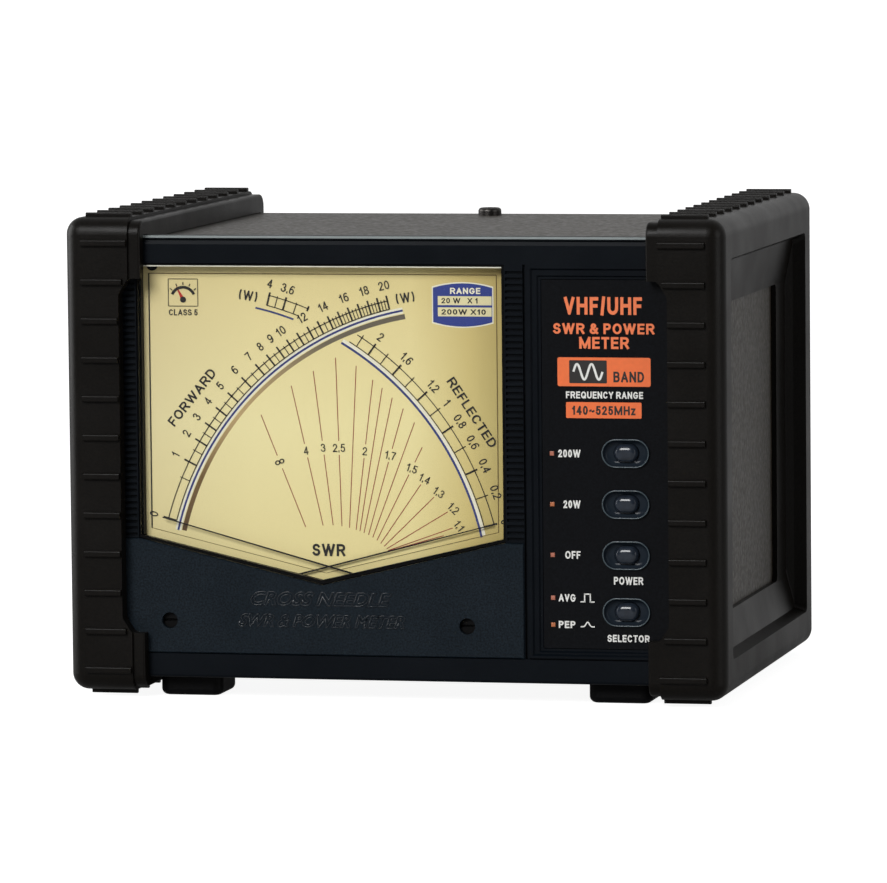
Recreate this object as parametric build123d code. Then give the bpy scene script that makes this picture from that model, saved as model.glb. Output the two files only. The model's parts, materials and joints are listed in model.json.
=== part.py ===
from build123d import *
import math
import os

# Bench cross-needle SWR and power meter, in millimetres.
# +X is to the viewer's right, +Y goes to the rear, +Z is up. The feet stand on Z = 0,
# and the origin is under the middle of the whole object, connectors included.

# Overall envelope
WIDTH = 165.0              # over the two side guards
GUARD_DEPTH = 124.6        # front face to rear face of a guard, without its ribs
GUARD_BOTTOM = 2.0
GUARD_TOP = 119.0
RIB_HEIGHT = 1.0
CONNECTOR_REACH = 18.0     # connector tips behind the rear panel
REAR_PANEL_BACK = 119.6    # rear panel's outer face, from the guard's front face
TOTAL_DEPTH = RIB_HEIGHT + REAR_PANEL_BACK + CONNECTOR_REACH
FACE_Y = RIB_HEIGHT - TOTAL_DEPTH / 2   # the guards' front face

# Side guards
GUARD_EDGE_X = 66.2        # inner edge of a guard's ribbed face
LEDGE_X = 63.2             # inner edge of the plain ledge beside it
LEDGE_STEP = 0.8
GUARD_RADIUS = 4.2
NOTCH_X = 68.6             # inner edge of the face between the corner tabs
NOTCH_BOTTOM = 16.4
NOTCH_TOP = 104.0
NOTCH_SLOPE = 3.8
RIB_COUNT = 12
RIB_FIRST_Z = 7.3
RIB_PITCH_Z = 9.59
RIB_WIDTH = 1.6
RIB_OUTER_X = 77.9
RIB_FIRST_Y = 5.4
RIB_PITCH_Y = (GUARD_DEPTH - 2 * RIB_FIRST_Y) / (RIB_COUNT - 1)
RECESS_STAGES = (          # X of each section, then its depth limits and height limits
    (WIDTH / 2 + 0.01, (10.0, 114.0, 11.3, 109.1)),
    (79.3, (10.8, 113.4, 12.3, 107.6)),
    (77.3, (17.0, 112.6, 20.7, 96.8)),
)
RECESS_WINDOW_BACK = 100.0   # rear edge of the opening where the case shows
RECESS_CORNER = 1.6

# Case
CASE_X = 76.0
CASE_BOTTOM = 5.3
COVER_TOP = 113.4
SHEET = 1.0
FRAME_FRONT = 4.0          # front frame's face, behind the guards' face
FRAME_FLANGE_BACK = 8.2
FRAME_BACK = 18.0
FRAME_TOP = 114.5
FRAME_X = 78.2
FRAME_WALL = 2.0
TOP_CHAMFER = 0.9
LIP_HEIGHT = 1.25              # upper lip of the frame, set back above a shadow groove
LIP_SET_BACK = 0.7
LIP_GROOVE = 0.3
TOP_GROOVE_Z = 113.6       # thin groove under the frame's top lip
FIT_GAP = 0.15

# Meter opening in the front frame
OPEN_LEFT = -65.2
OPEN_RIGHT = 27.5
OPEN_TOP = 107.7
OPEN_BOTTOM = 13.0
METER_X = (OPEN_LEFT + OPEN_RIGHT) / 2
V_SHOULDER_Z = 39.7
V_VERTEX_Z = 28.6

# Finned strips on both sides of the opening
FIN_LEFT = (-69.7, -65.5)
FIN_RIGHT = (27.8, 32.1)
FIN_BOTTOM = 39.9
FIN_PITCH = 1.55
FIN_GROOVE = 0.75
FIN_DEPTH = 0.8
FIN_COUNT = 43

# Lower bezel plate
PLATE_THICK = 2.0
PLATE_BOTTOM = 11.35
PLATE_RIGHT = 31.9
ZERO_HOLE_R = 2.0
FORWARD_SCREW = (17.6, 19.1)
REFLECTED_SCREW = (-57.6, 19.4)

# Control panel
PANEL_LEFT = 36.4
PANEL_RIGHT = 71.0
PANEL_BOTTOM = 13.9
PANEL_TOP = 104.2
PANEL_FRONT = 5.1
PANEL_THICK = 2.0
RIM_LEFT = 34.4
RIM_BOTTOM = 12.6
RIM_TOP = 106.4
RIM_STEP = 0.6
SEAM_LEFT = 32.5
BUTTON_X = 57.2
BUTTON_Z = {
    "power_200w_button": 61.9,
    "power_20w_button": 49.45,
    "power_off_button": 37.0,
    "selector_button": 23.1,
}
BOWL_LONG = 11.9
BOWL_HIGH = 7.1
BOWL_RAISE = 0.6
BOWL_RIM = 0.35
BOWL_DEPTH = 1.6
BOWL_CURVE = 1.4
BUTTON_LONG = 6.2
BUTTON_HIGH = 4.6
BUTTON_GAP = 0.12
BUTTON_FRONT = 4.4
BUTTON_TRAVEL = 1.0
LED_X = 38.9
LED_Z = {
    "led_200w": 61.7,
    "led_20w": 49.3,
    "led_off": 36.9,
    "led_average": 26.4,
    "led_peak": 19.8,
}
LED_SIZE = 1.05
SWITCH_FRONT = 9.7
SWITCH_SIZE = 6.0
SWITCH_DEPTH = 3.8
BOARD_THICK = 1.6
BOARD_FRONT = SWITCH_FRONT + SWITCH_DEPTH
BOARD = (33.5, 72.6, 16.0, 101.0)            # X limits, then height limits
BOARD_SCREW_X = (35.4, 70.8)
BOARD_SCREW_Z = (31.5, 97.0)

# Meter: window, housing, scale
RIM_FRONT = 4.4
WINDOW_FRONT = 4.55
WINDOW_BACK = 5.8
HOUSING_FRONT = 6.2
HOUSING_BACK = 27.0
HOUSING_WALL = 0.6
WINDOW = (-64.8, 26.8, 107.15, 40.55, 29.85)   # left, right, top, shoulder, vertex
SCALE_FRONT = 8.0
SCALE_THICK = 0.8
SCALE_LIFT = 0.3                             # scale's lower edge above the bezel's edge
LAMP_X = (-42.0, 4.0)
LAMP_Z = 100.0
STOP_TAB_X = -61.9
STOP_TAB_R = 1.35

# Movements: pivot places, needle length and resting angle above the horizontal
PIVOT_Z = 24.05
FORWARD_X = 15.05
REFLECTED_X = -51.8
FORWARD_LENGTH = 77.6
REFLECTED_LENGTH = 78.0
FORWARD_REST = 15.4
REFLECTED_REST = 14.7
NEEDLE_SPAN = 61.3
FORWARD_PLANE = 6.35
REFLECTED_PLANE = 7.0
NEEDLE_THICK = 0.25
NEEDLE_ROOT = 0.5
NEEDLE_TIP = 0.26
ARBOR_R = 0.4
MAGNET_R = 5.4
YOKE_INNER = 8.0
YOKE_OUTER = 10.0
MAGNET_FRONT = 12.2
MAGNET_BACK = 19.4
COIL_FRONT = 10.8
COIL_BACK = 20.8
COIL_INNER = 6.1
COIL_OUTER = 7.4
COIL_WIDTH = 2.4
BRIDGE_FRONT = 9.2
BRIDGE_THICK = 1.0
REAR_BRIDGE = 22.0
PILLAR_REACH = 8.0
PILLAR_R = 1.2
JEWEL_R = 0.45
FORK_FRONT = 8.25
FORK_THICK = 0.5
ECCENTRIC = 0.8
PIN_R = 0.45
SPRING_FRONT = 7.5
SPRING_STRIP = 0.12
SPRING_START = 0.9
SPRING_GROWTH = 0.42
SPRING_HALF_TURNS = 7
SPRING_END = SPRING_START + SPRING_GROWTH * (SPRING_HALF_TURNS - 1) / 2

# Feet and screws
FOOT_X = 54.2
FOOT_Y = (18.0, 100.0)
FOOT_HALF = 7.9
FOOT_CORNER = 2.6
SCREW_R = 1.5
HEAD_R = 3.0
HEAD_HIGH = 2.0
GUARD_SCREW_X = 72.3
GUARD_SCREW_Z = (12.1, 108.0)
TOP_SCREW_D = REAR_PANEL_BACK - 7.0
PANEL_SCREW_X = (-52.0, 0.0, 36.0)
PANEL_SCREW_Z = 12.5

# Sensor and rear connectors
TX_X = 24.0
ANT_X = -24.0
CONNECTOR_Z = 50.0
FLANGE = 25.4
FLANGE_THICK = 2.0
FLANGE_PITCH = 18.2
THREAD_R = 7.9
SOCKET_R = 4.1
SOCKET_DEPTH = 10.0
BODY_R = 6.4
SENSOR_X = 42.0
SENSOR_Z = (35.0, 65.0)
SENSOR_Y = (REAR_PANEL_BACK - 32.0, REAR_PANEL_BACK - 1.4)
SENSOR_WALL = 2.0
JACK_X = 50.0
JACK_Z = 22.0
JACK_R = 4.0


# Small helpers

def depth(d):
    """Row Y of a distance d behind the guards' front face."""
    return FACE_Y + d


def block(x0, x1, d0, d1, z0, z1):
    """Box between two X, two depth and two Z limits."""
    centre = ((x0 + x1) / 2, depth((d0 + d1) / 2), (z0 + z1) / 2)
    return Pos(*centre) * Box(abs(x1 - x0), abs(d1 - d0), abs(z1 - z0))


def rod(x, z, d0, d1, r):
    """Cylinder along Y."""
    return Pos(x, depth((d0 + d1) / 2), z) * Rot(90, 0, 0) * Cylinder(r, abs(d1 - d0))


def post(x, d, z0, z1, r):
    """Cylinder along Z."""
    return Pos(x, depth(d), (z0 + z1) / 2) * Cylinder(r, abs(z1 - z0))


def face_plane(d):
    """Plane facing the front at depth d; its X is row X and its Y is row Z."""
    return Plane(origin=(0, depth(d), 0), x_dir=(1, 0, 0), z_dir=(0, -1, 0))


def prism(points, d0, d1):
    """Solid between depths d0 and d1 over an outline in X and Z."""
    outline = face_plane(d1) * make_face(Polyline(*points, close=True))
    return extrude(outline, amount=d1 - d0)


def slot_prism(x, z, long, high, d0, d1):
    """Stadium-shaped solid between depths d0 and d1."""
    return extrude(face_plane(d1) * Pos(x, z) * SlotOverall(long, high), amount=d1 - d0)


def pentagon(left, right, top, shoulder, vertex):
    """Window outline with a V-shaped bottom."""
    middle = (left + right) / 2
    return [(left, top), (left, shoulder), (middle, vertex), (right, shoulder), (right, top)]


def pan_screw(length, head_r=HEAD_R, head_high=HEAD_HIGH, r=SCREW_R):
    """Cross-recessed pan-head screw along +Z, its head's underside at the origin."""
    head = Pos(0, 0, head_high / 2) * Cylinder(head_r, head_high)
    head = fillet(head.edges().group_by(Axis.Z)[-1], head_high * 0.45)
    arm = head_r * 1.1
    cross = Box(arm, arm / 5, head_high) + Box(arm / 5, arm, head_high)
    shank = Pos(0, 0, -length / 2) * Cylinder(r, length)
    return head + shank - Pos(0, 0, head_high * 1.05) * cross


def screw_to_front(x, z, d, length):
    """Screw driven from the rear: head behind depth d, shank towards the front."""
    return Pos(x, depth(d), z) * Rot(-90, 0, 0) * pan_screw(length)


def save(shape, name):
    """Write one node to its STEP file."""
    solids = shape if isinstance(shape, list) else shape.solids()
    result = Compound(children=list(solids)) if len(solids) > 1 else solids[0]
    result.label = name
    export_step(result, os.path.join("parts", name + ".step"))


# Side guards

def rib_profile(width, height):
    """Rib section with rounded shoulders, standing on its base line."""
    half = width / 2
    soft = 0.35
    sketch = Rectangle(width, height + 0.4, align=(Align.CENTER, Align.MIN))
    rounded = fillet(sketch.vertices().group_by(Axis.Y)[-1], soft)
    return Pos(0, -0.4) * rounded if half > soft else sketch


def rib(origin, outward, x0, x1):
    """Rib along X from x0 to x1, standing out of the surface at origin."""
    across = Vector(*outward).cross(Vector(1, 0, 0))
    plane = Plane(origin=(x0, origin[1], origin[2]), x_dir=across, z_dir=(1, 0, 0))
    return extrude(plane * rib_profile(RIB_WIDTH, RIB_HEIGHT), amount=x1 - x0)


def guard_ribs():
    """Ribs of the right guard on its front, top, rear and bottom."""
    ribs = []
    for i in range(RIB_COUNT):
        z = RIB_FIRST_Z + i * RIB_PITCH_Z
        in_notch = NOTCH_BOTTOM + NOTCH_SLOPE < z < NOTCH_TOP - NOTCH_SLOPE
        near_edge = NOTCH_BOTTOM < z < NOTCH_TOP
        inner = NOTCH_X + 0.2 if in_notch else GUARD_EDGE_X + (1.4 if near_edge else 0.2)
        ribs.append(rib((0, depth(0), z), (0, -1, 0), inner, RIB_OUTER_X))
        ribs.append(rib((0, depth(GUARD_DEPTH), z), (0, 1, 0), inner, RIB_OUTER_X))
        y = depth(RIB_FIRST_Y + i * RIB_PITCH_Y)
        ribs.append(rib((0, y, GUARD_TOP), (0, 0, 1), GUARD_EDGE_X + 0.2, RIB_OUTER_X))
        ribs.append(rib((0, y, GUARD_BOTTOM), (0, 0, -1), GUARD_EDGE_X + 0.2, RIB_OUTER_X))
    return ribs


def rounded_shell(x0, x1, inset, radius, round_side):
    """Guard slab with its edges along X rounded, and its outer side too."""
    slab = block(x0, x1, inset, GUARD_DEPTH - inset, GUARD_BOTTOM + inset, GUARD_TOP - inset)
    edges = slab.edges().filter_by(Axis.X)
    if round_side:
        edges = edges + slab.faces().sort_by(Axis.X)[-1].edges()
    return fillet(edges, radius)


def recess_cut():
    """Grip recess in the side wall: a straight rim, a sloping pocket and a window to the case."""
    sections = [recess_section(x, limits) for x, limits in RECESS_STAGES]
    rim = loft(sections[:2])
    pocket = loft(sections[1:])
    x, (d0, _, z0, z1) = RECESS_STAGES[-1]
    window = recess_section(x + 0.01, (d0, RECESS_WINDOW_BACK, z0, z1))
    return rim + pocket + extrude(window, amount=CASE_X - x - 1)


def recess_section(x, limits):
    """Rounded rectangle across X, facing outwards."""
    d0, d1, z0, z1 = limits
    plane = Plane(origin=(x, depth((d0 + d1) / 2), (z0 + z1) / 2), x_dir=(0, 1, 0), z_dir=(1, 0, 0))
    return plane * RectangleRounded(d1 - d0, z1 - z0, RECESS_CORNER)


def notch_cut(d0, d1):
    """Cut-back between the corner tabs of a guard's front or rear face."""
    outline = [
        (LEDGE_X - 1, NOTCH_BOTTOM), (GUARD_EDGE_X, NOTCH_BOTTOM),
        (NOTCH_X, NOTCH_BOTTOM + NOTCH_SLOPE), (NOTCH_X, NOTCH_TOP - NOTCH_SLOPE),
        (GUARD_EDGE_X, NOTCH_TOP), (LEDGE_X - 1, NOTCH_TOP),
    ]
    cut = prism(outline, d0, d1)
    corners = cut.edges().filter_by(Axis.Y).group_by(Axis.X)
    return fillet(corners[-1] + corners[-2], 2.0)


def right_guard():
    body = rounded_shell(GUARD_EDGE_X, WIDTH / 2, 0, GUARD_RADIUS, True)
    ledge = rounded_shell(LEDGE_X, GUARD_EDGE_X + 0.01, LEDGE_STEP, GUARD_RADIUS - LEDGE_STEP, False)
    ledge = fillet(ledge.faces().sort_by(Axis.X)[0].edges(), 0.6)
    guard = body + ledge
    guard -= block(0, FRAME_X + FIT_GAP, FRAME_FRONT, FRAME_FLANGE_BACK,
                   CASE_BOTTOM - FIT_GAP, FRAME_TOP + FIT_GAP)
    guard -= block(0, CASE_X + FIT_GAP, FRAME_FLANGE_BACK - 0.01, REAR_PANEL_BACK,
                   CASE_BOTTOM - FIT_GAP, COVER_TOP + FIT_GAP)
    guard -= notch_cut(-2, FRAME_FRONT + 0.01)
    guard -= notch_cut(REAR_PANEL_BACK - 0.01, GUARD_DEPTH + 2)
    guard -= recess_cut()
    guard += guard_ribs()
    for z in GUARD_SCREW_Z:
        guard -= rod(GUARD_SCREW_X, z, REAR_PANEL_BACK - 1, GUARD_DEPTH + 2, SCREW_R + 0.1)
        guard -= rod(GUARD_SCREW_X, z, GUARD_DEPTH - HEAD_HIGH, GUARD_DEPTH + 2, HEAD_R + 0.2)
    return guard


def guard_screws():
    screws = []
    for x in (-GUARD_SCREW_X, GUARD_SCREW_X):
        for z in GUARD_SCREW_Z:
            screws.append(screw_to_front(x, z, GUARD_DEPTH - HEAD_HIGH, 10.0))
    return screws


# Case

def top_cover():
    """Bent sheet cover: roof and two sides."""
    outer = block(-CASE_X, CASE_X, FRAME_FLANGE_BACK, REAR_PANEL_BACK - SHEET, CASE_BOTTOM, COVER_TOP)
    outer = fillet(outer.edges().filter_by(Axis.Y).group_by(Axis.Z)[-1], 1.6)
    inner = block(-CASE_X + SHEET, CASE_X - SHEET, 0, GUARD_DEPTH, 0, COVER_TOP - SHEET)
    inner = fillet(inner.edges().filter_by(Axis.Y).group_by(Axis.Z)[-1], 0.6)
    hole = post(0, TOP_SCREW_D, COVER_TOP - 5, COVER_TOP + 5, SCREW_R + 0.1)
    return outer - inner - hole


def bottom_chassis():
    """Sheet tray: floor, two low side flanges and a rear flange."""
    x = CASE_X - SHEET - 0.05
    back = REAR_PANEL_BACK - SHEET - 0.05
    tray = block(-x, x, FRAME_FLANGE_BACK + 0.05, back, CASE_BOTTOM, CASE_BOTTOM + SHEET)
    for side in (-1, 1):
        tray += block(side * (x - SHEET), side * x, FRAME_BACK + 0.3, back, CASE_BOTTOM, 18.0)
    tray += block(-60, 60, back - SHEET, back, CASE_BOTTOM, 16.0)
    for x in (-FOOT_X, FOOT_X):
        for d in FOOT_Y:
            boss_top = CASE_BOTTOM + SHEET + 3.0
            if d > FRAME_BACK + 5:
                tray += post(x, d, CASE_BOTTOM, boss_top, 4.0)
            tray -= post(x, d, 0, 20, SCREW_R)
    for x in PANEL_SCREW_X:
        tray -= rod(x, PANEL_SCREW_Z, back - 5, back + 5, SCREW_R)
    return tray


def rear_panel():
    """Rear plate with a top flange for the cover screw."""
    plate = block(-CASE_X, CASE_X, REAR_PANEL_BACK - SHEET, REAR_PANEL_BACK, CASE_BOTTOM, COVER_TOP)
    plate = fillet(plate.edges().filter_by(Axis.Y).group_by(Axis.Z)[-1], 1.6)
    flange_top = COVER_TOP - SHEET - 0.02
    plate += block(-30, 30, TOP_SCREW_D - 6, REAR_PANEL_BACK - SHEET, flange_top - 2, flange_top)
    plate -= post(0, TOP_SCREW_D, 100, 130, SCREW_R)
    for x in (TX_X, ANT_X):
        plate -= rod(x, CONNECTOR_Z, 110, 125, BODY_R)
        for i in (-1, 1):
            for j in (-1, 1):
                hole_x = x + i * FLANGE_PITCH / 2
                hole_z = CONNECTOR_Z + j * FLANGE_PITCH / 2
                plate -= rod(hole_x, hole_z, 110, 125, SCREW_R)
    plate -= rod(JACK_X, JACK_Z, 110, 125, JACK_R)
    for x in (-GUARD_SCREW_X, GUARD_SCREW_X):
        for z in GUARD_SCREW_Z:
            plate -= rod(x, z, 110, 125, SCREW_R)
    for x in PANEL_SCREW_X:
        plate -= rod(x, PANEL_SCREW_Z, 110, 125, SCREW_R)
    return plate

def cover_screw():
    return Pos(0, depth(TOP_SCREW_D), COVER_TOP) * pan_screw(6.0)


def rear_panel_screws():
    return [screw_to_front(x, PANEL_SCREW_Z, REAR_PANEL_BACK, 6.0) for x in PANEL_SCREW_X]


def front_frame():
    """Moulded front: flange, spigot behind it, openings, fins and the stepped panel rim."""
    frame = block(-FRAME_X, FRAME_X, FRAME_FRONT, FRAME_FLANGE_BACK, CASE_BOTTOM, FRAME_TOP)
    frame -= block(-80, 80, FRAME_FRONT - 1, FRAME_FRONT + LIP_SET_BACK, FRAME_TOP - LIP_HEIGHT, FRAME_TOP + 1)
    front_top = frame.edges().filter_by(Axis.X).group_by(Axis.Y)[0].sort_by(Axis.Z)
    frame = chamfer(front_top[-1], TOP_CHAMFER, TOP_CHAMFER * 0.5)
    groove = FRAME_TOP - LIP_HEIGHT
    frame -= block(-80, 80, FRAME_FRONT - 1, FRAME_FRONT + LIP_SET_BACK + 0.6, groove, groove + LIP_GROOVE)
    frame = fillet(frame.edges().filter_by(Axis.X).group_by(Axis.Y)[0].sort_by(Axis.Z)[0], 0.8)
    x = CASE_X - SHEET - 0.05
    low = CASE_BOTTOM + SHEET + 0.05
    high = COVER_TOP - SHEET - 0.05
    spigot = block(-x, x, FRAME_FLANGE_BACK, FRAME_BACK, low, high)
    frame += fillet(spigot.edges().filter_by(Axis.Y), 0.8)
    wall = FRAME_WALL
    frame -= block(-x + wall, x - wall, FRAME_FLANGE_BACK, FRAME_BACK + 1, low + wall, high - wall)
    frame -= block(OPEN_LEFT, OPEN_RIGHT, 0, 20, OPEN_BOTTOM, OPEN_TOP)
    frame -= prism(plate_outline(0.15), 0, FRAME_FRONT + PLATE_THICK)
    frame -= fin_grooves(FIN_LEFT)
    frame -= fin_grooves(FIN_RIGHT)
    frame -= block(SEAM_LEFT - 0.35, SEAM_LEFT + 0.35, 0, FRAME_FRONT + 0.9, PLATE_BOTTOM, OPEN_TOP)
    frame -= block(SEAM_LEFT, 80, 0, FRAME_FRONT + 0.9, PLATE_BOTTOM - 0.15, PLATE_BOTTOM + 0.25)
    frame -= panel_step(RIM_LEFT, RIM_BOTTOM, RIM_TOP, FRAME_FRONT, RIM_STEP)
    frame -= panel_step(PANEL_LEFT - 0.55, PANEL_BOTTOM - 0.55, PANEL_TOP + 0.55,
                        FRAME_FRONT + RIM_STEP, PANEL_FRONT - FRAME_FRONT - RIM_STEP)
    frame -= block(PANEL_LEFT, PANEL_RIGHT, 0, PANEL_FRONT + PANEL_THICK, PANEL_BOTTOM, PANEL_TOP)
    frame -= block(PANEL_LEFT + 0.8, PANEL_RIGHT - 1.2, 0, 20, PANEL_BOTTOM + 1.2, PANEL_TOP - 1.2)
    for x in BOARD_SCREW_X:
        for z in BOARD_SCREW_Z:
            frame += rod(x, z, PANEL_FRONT + PANEL_THICK, BOARD_FRONT, 2.0)
            frame -= rod(x, z, PANEL_FRONT + PANEL_THICK + 2, 30, 1.0)
    for d in FOOT_Y:
        if d < FRAME_BACK + 5:
            for x in (-FOOT_X, FOOT_X):
                frame -= post(x, d, 0, 12, 4.5)
    return frame

def panel_step(left, bottom, top, front, drop):
    """Shallow stepped pocket with a sloping wall, open to the right under the guard."""
    right = FRAME_X + 5
    plane = face_plane(front + drop)
    floor = plane * Pos((left + right) / 2, (bottom + top) / 2) * Rectangle(right - left, top - bottom)
    return extrude(floor, amount=drop + 0.01, taper=-35)


def fin_grooves(span):
    """Row of thin horizontal grooves between two X limits."""
    grooves = []
    for i in range(FIN_COUNT):
        z = FIN_BOTTOM + (i + 0.5) * FIN_PITCH
        grooves.append(block(span[0], span[1], FRAME_FRONT - 1, FRAME_FRONT + FIN_DEPTH,
                             z - FIN_GROOVE / 2, z + FIN_GROOVE / 2))
    return grooves


def plate_outline(grow=0.0):
    """Lower bezel plate's outline, grown by a fit gap for its pocket."""
    left = -FRAME_X + 0.3 - grow
    right = PLATE_RIGHT + grow
    low = PLATE_BOTTOM - grow
    high = V_SHOULDER_Z + grow
    return [
        (left, low), (right, low), (right, high), (OPEN_RIGHT, high),
        (METER_X, V_VERTEX_Z + grow), (OPEN_LEFT, high), (left, high),
    ]


def lower_bezel():
    plate = prism(plate_outline(), FRAME_FRONT, FRAME_FRONT + PLATE_THICK)
    plate = chamfer(plate.faces().sort_by(Axis.Y)[0].edges(), 0.3)
    for x, z in (FORWARD_SCREW, REFLECTED_SCREW):
        plate -= rod(x, z, 0, 20, ZERO_HOLE_R)
    return plate


# Control panel, buttons and indicators

def button_bowl(z):
    """Raised stadium rim, and the round-bottomed dish that is cut into it."""
    front = PANEL_FRONT - BOWL_RAISE
    rim = slot_prism(BUTTON_X, z, BOWL_LONG, BOWL_HIGH, front, PANEL_FRONT + 0.5)
    rim = fillet(rim.faces().sort_by(Axis.Y)[0].edges(), 0.25)
    dish = slot_prism(BUTTON_X, z, BOWL_LONG - 2 * BOWL_RIM, BOWL_HIGH - 2 * BOWL_RIM,
                      front - 0.01, front + BOWL_DEPTH)
    return rim, fillet(dish.faces().sort_by(Axis.Y)[-1].edges(), BOWL_CURVE)


def control_panel():
    gap = FIT_GAP
    panel = block(PANEL_LEFT + gap, PANEL_RIGHT - gap, PANEL_FRONT, PANEL_FRONT + PANEL_THICK,
                  PANEL_BOTTOM + gap, PANEL_TOP - gap)
    for z in BUTTON_Z.values():
        rim, dish = button_bowl(z)
        panel = panel + rim - dish
        panel -= slot_prism(BUTTON_X, z, BUTTON_LONG + 2 * BUTTON_GAP, BUTTON_HIGH + 2 * BUTTON_GAP,
                            PANEL_FRONT, PANEL_FRONT + 3)
    for z in LED_Z.values():
        half = LED_SIZE / 2 + 0.05
        panel -= block(LED_X - half, LED_X + half, 0, 20, z - half, z + half)
    return panel


def push_button(z):
    """Capsule key with a retaining flange and a stem that reaches into its switch."""
    back = PANEL_FRONT + PANEL_THICK
    key = slot_prism(BUTTON_X, z, BUTTON_LONG, BUTTON_HIGH, BUTTON_FRONT, back + 0.3)
    key = fillet(key.faces().sort_by(Axis.Y)[0].edges(), 1.7)
    flange = slot_prism(BUTTON_X, z, BUTTON_LONG + 2, BUTTON_HIGH + 1.8, back + 0.2, back + 1.0)
    stem = rod(BUTTON_X, z, back + 0.9, SWITCH_FRONT + 0.5, 1.6)
    return key + flange + stem


def indicator(z):
    """Square light pipe in front of a round LED body."""
    half = LED_SIZE / 2
    back = PANEL_FRONT + PANEL_THICK
    pipe = block(LED_X - half, LED_X + half, PANEL_FRONT - 0.2, back + 0.3, z - half, z + half)
    pipe = fillet(pipe.faces().sort_by(Axis.Y)[0].edges(), 0.15)
    return pipe + rod(LED_X, z, back + 0.2, BOARD_FRONT, 1.45)


def tact_switches():
    """One switch body behind each button, bored for its stem."""
    half = SWITCH_SIZE / 2
    bodies = []
    for z in BUTTON_Z.values():
        body = block(BUTTON_X - half, BUTTON_X + half, SWITCH_FRONT, BOARD_FRONT, z - half, z + half)
        bodies.append(body - rod(BUTTON_X, z, SWITCH_FRONT - 1, SWITCH_FRONT + 2.4, 1.75))
    return [solid for body in bodies for solid in body.solids()]


def control_board():
    x0, x1, z0, z1 = BOARD
    board = block(x0, x1, BOARD_FRONT, BOARD_FRONT + BOARD_THICK, z0, z1)
    for x in BOARD_SCREW_X:
        for z in BOARD_SCREW_Z:
            board -= rod(x, z, 0, 30, 1.0)
    return board


def board_screws():
    screws = []
    for x in BOARD_SCREW_X:
        for z in BOARD_SCREW_Z:
            small = pan_screw(5.0, head_r=1.9, head_high=1.4, r=1.0)
            screws.append(Pos(x, depth(BOARD_FRONT + BOARD_THICK), z) * Rot(-90, 0, 0) * small)
    return screws


# Meter

def window_pane():
    pane = prism(pentagon(*WINDOW), WINDOW_FRONT, WINDOW_BACK)
    return chamfer(pane.faces().sort_by(Axis.Y)[0].edges(), 0.2)


def window_rim():
    """Thin black frame that holds the pane in the opening."""
    gap = FIT_GAP
    outer = (OPEN_LEFT + gap, OPEN_RIGHT - gap, OPEN_TOP - gap, V_SHOULDER_Z + gap * 1.6,
             V_VERTEX_Z + gap * 1.6)
    ring = prism(pentagon(*outer), RIM_FRONT, HOUSING_FRONT)
    return ring - prism(pentagon(*WINDOW), 0, 20)


def meter_housing():
    """Open-fronted box around the scale and both movements, with posts for the scale."""
    gap = FIT_GAP
    x0 = OPEN_LEFT + gap
    x1 = OPEN_RIGHT - gap
    z0 = OPEN_BOTTOM + gap
    z1 = OPEN_TOP - gap
    wall = HOUSING_WALL
    box = block(x0, x1, HOUSING_FRONT, HOUSING_BACK, z0, z1)
    box -= block(x0 + wall, x1 - wall, 0, HOUSING_BACK - 1.5, z0 + wall, z1 - wall)
    for x in (x0 + 4.0, x1 - 4.0):
        box += rod(x, z1 - 5.0, SCALE_FRONT + SCALE_THICK, HOUSING_BACK - 1, 1.8)
        box += rod(x, V_SHOULDER_Z + 5.0, SCALE_FRONT + SCALE_THICK, HOUSING_BACK - 1, 1.8)
    tab = rod(STOP_TAB_X, z1 - wall, SCALE_FRONT - 0.8, SCALE_FRONT, STOP_TAB_R)
    box += tab & block(x0, x1, 0, 20, 0, z1 - wall + 0.2)
    return box

def scale_plate():
    """Printed scale, cut to the window's V with room for the movements below."""
    gap = HOUSING_WALL + FIT_GAP + 0.1
    top = OPEN_TOP - gap
    outline = pentagon(OPEN_LEFT + gap, OPEN_RIGHT - gap, top, V_SHOULDER_Z + SCALE_LIFT, V_VERTEX_Z + SCALE_LIFT)
    return prism(outline, SCALE_FRONT, SCALE_FRONT + SCALE_THICK)


def dial_lamps():
    """Lamp board on the housing's back wall with two round lamps."""
    wall = HOUSING_BACK - 1.5
    lamps = block(LAMP_X[0] - 8, LAMP_X[1] + 8, wall - 1.2, wall, LAMP_Z - 3.5, LAMP_Z + 3.5)
    for x in LAMP_X:
        bulb = rod(x, LAMP_Z, wall - 9.0, wall - 1.0, 2.5)
        lamps += fillet(bulb.faces().sort_by(Axis.Y)[0].edges(), 2.2)
    return lamps


def needle(pivot_x, rest_angle, length, plane, mirrored):
    """Tapered pointer with a short tail and a hub, lying at its resting angle."""
    hub = rod(0, 0, plane, SPRING_FRONT - 0.1, 1.5)
    tail = 3.0
    half_root = NEEDLE_ROOT / 2
    half_tip = NEEDLE_TIP / 2
    outline = [(-tail, -half_root), (0, -half_root), (length, -half_tip), (length, half_tip),
               (0, half_root), (-tail, half_root)]
    blade = prism(outline, plane, plane + NEEDLE_THICK)
    stub = rod(0, 0, plane, BRIDGE_FRONT - 0.3, ARBOR_R)
    tilt = rest_angle if not mirrored else 180 - rest_angle
    turned = Pos(0, depth(0), 0) * Rot(0, -tilt, 0) * Pos(0, -depth(0), 0) * (blade + hub)
    return Pos(pivot_x, 0, PIVOT_Z) * (turned + stub)


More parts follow.
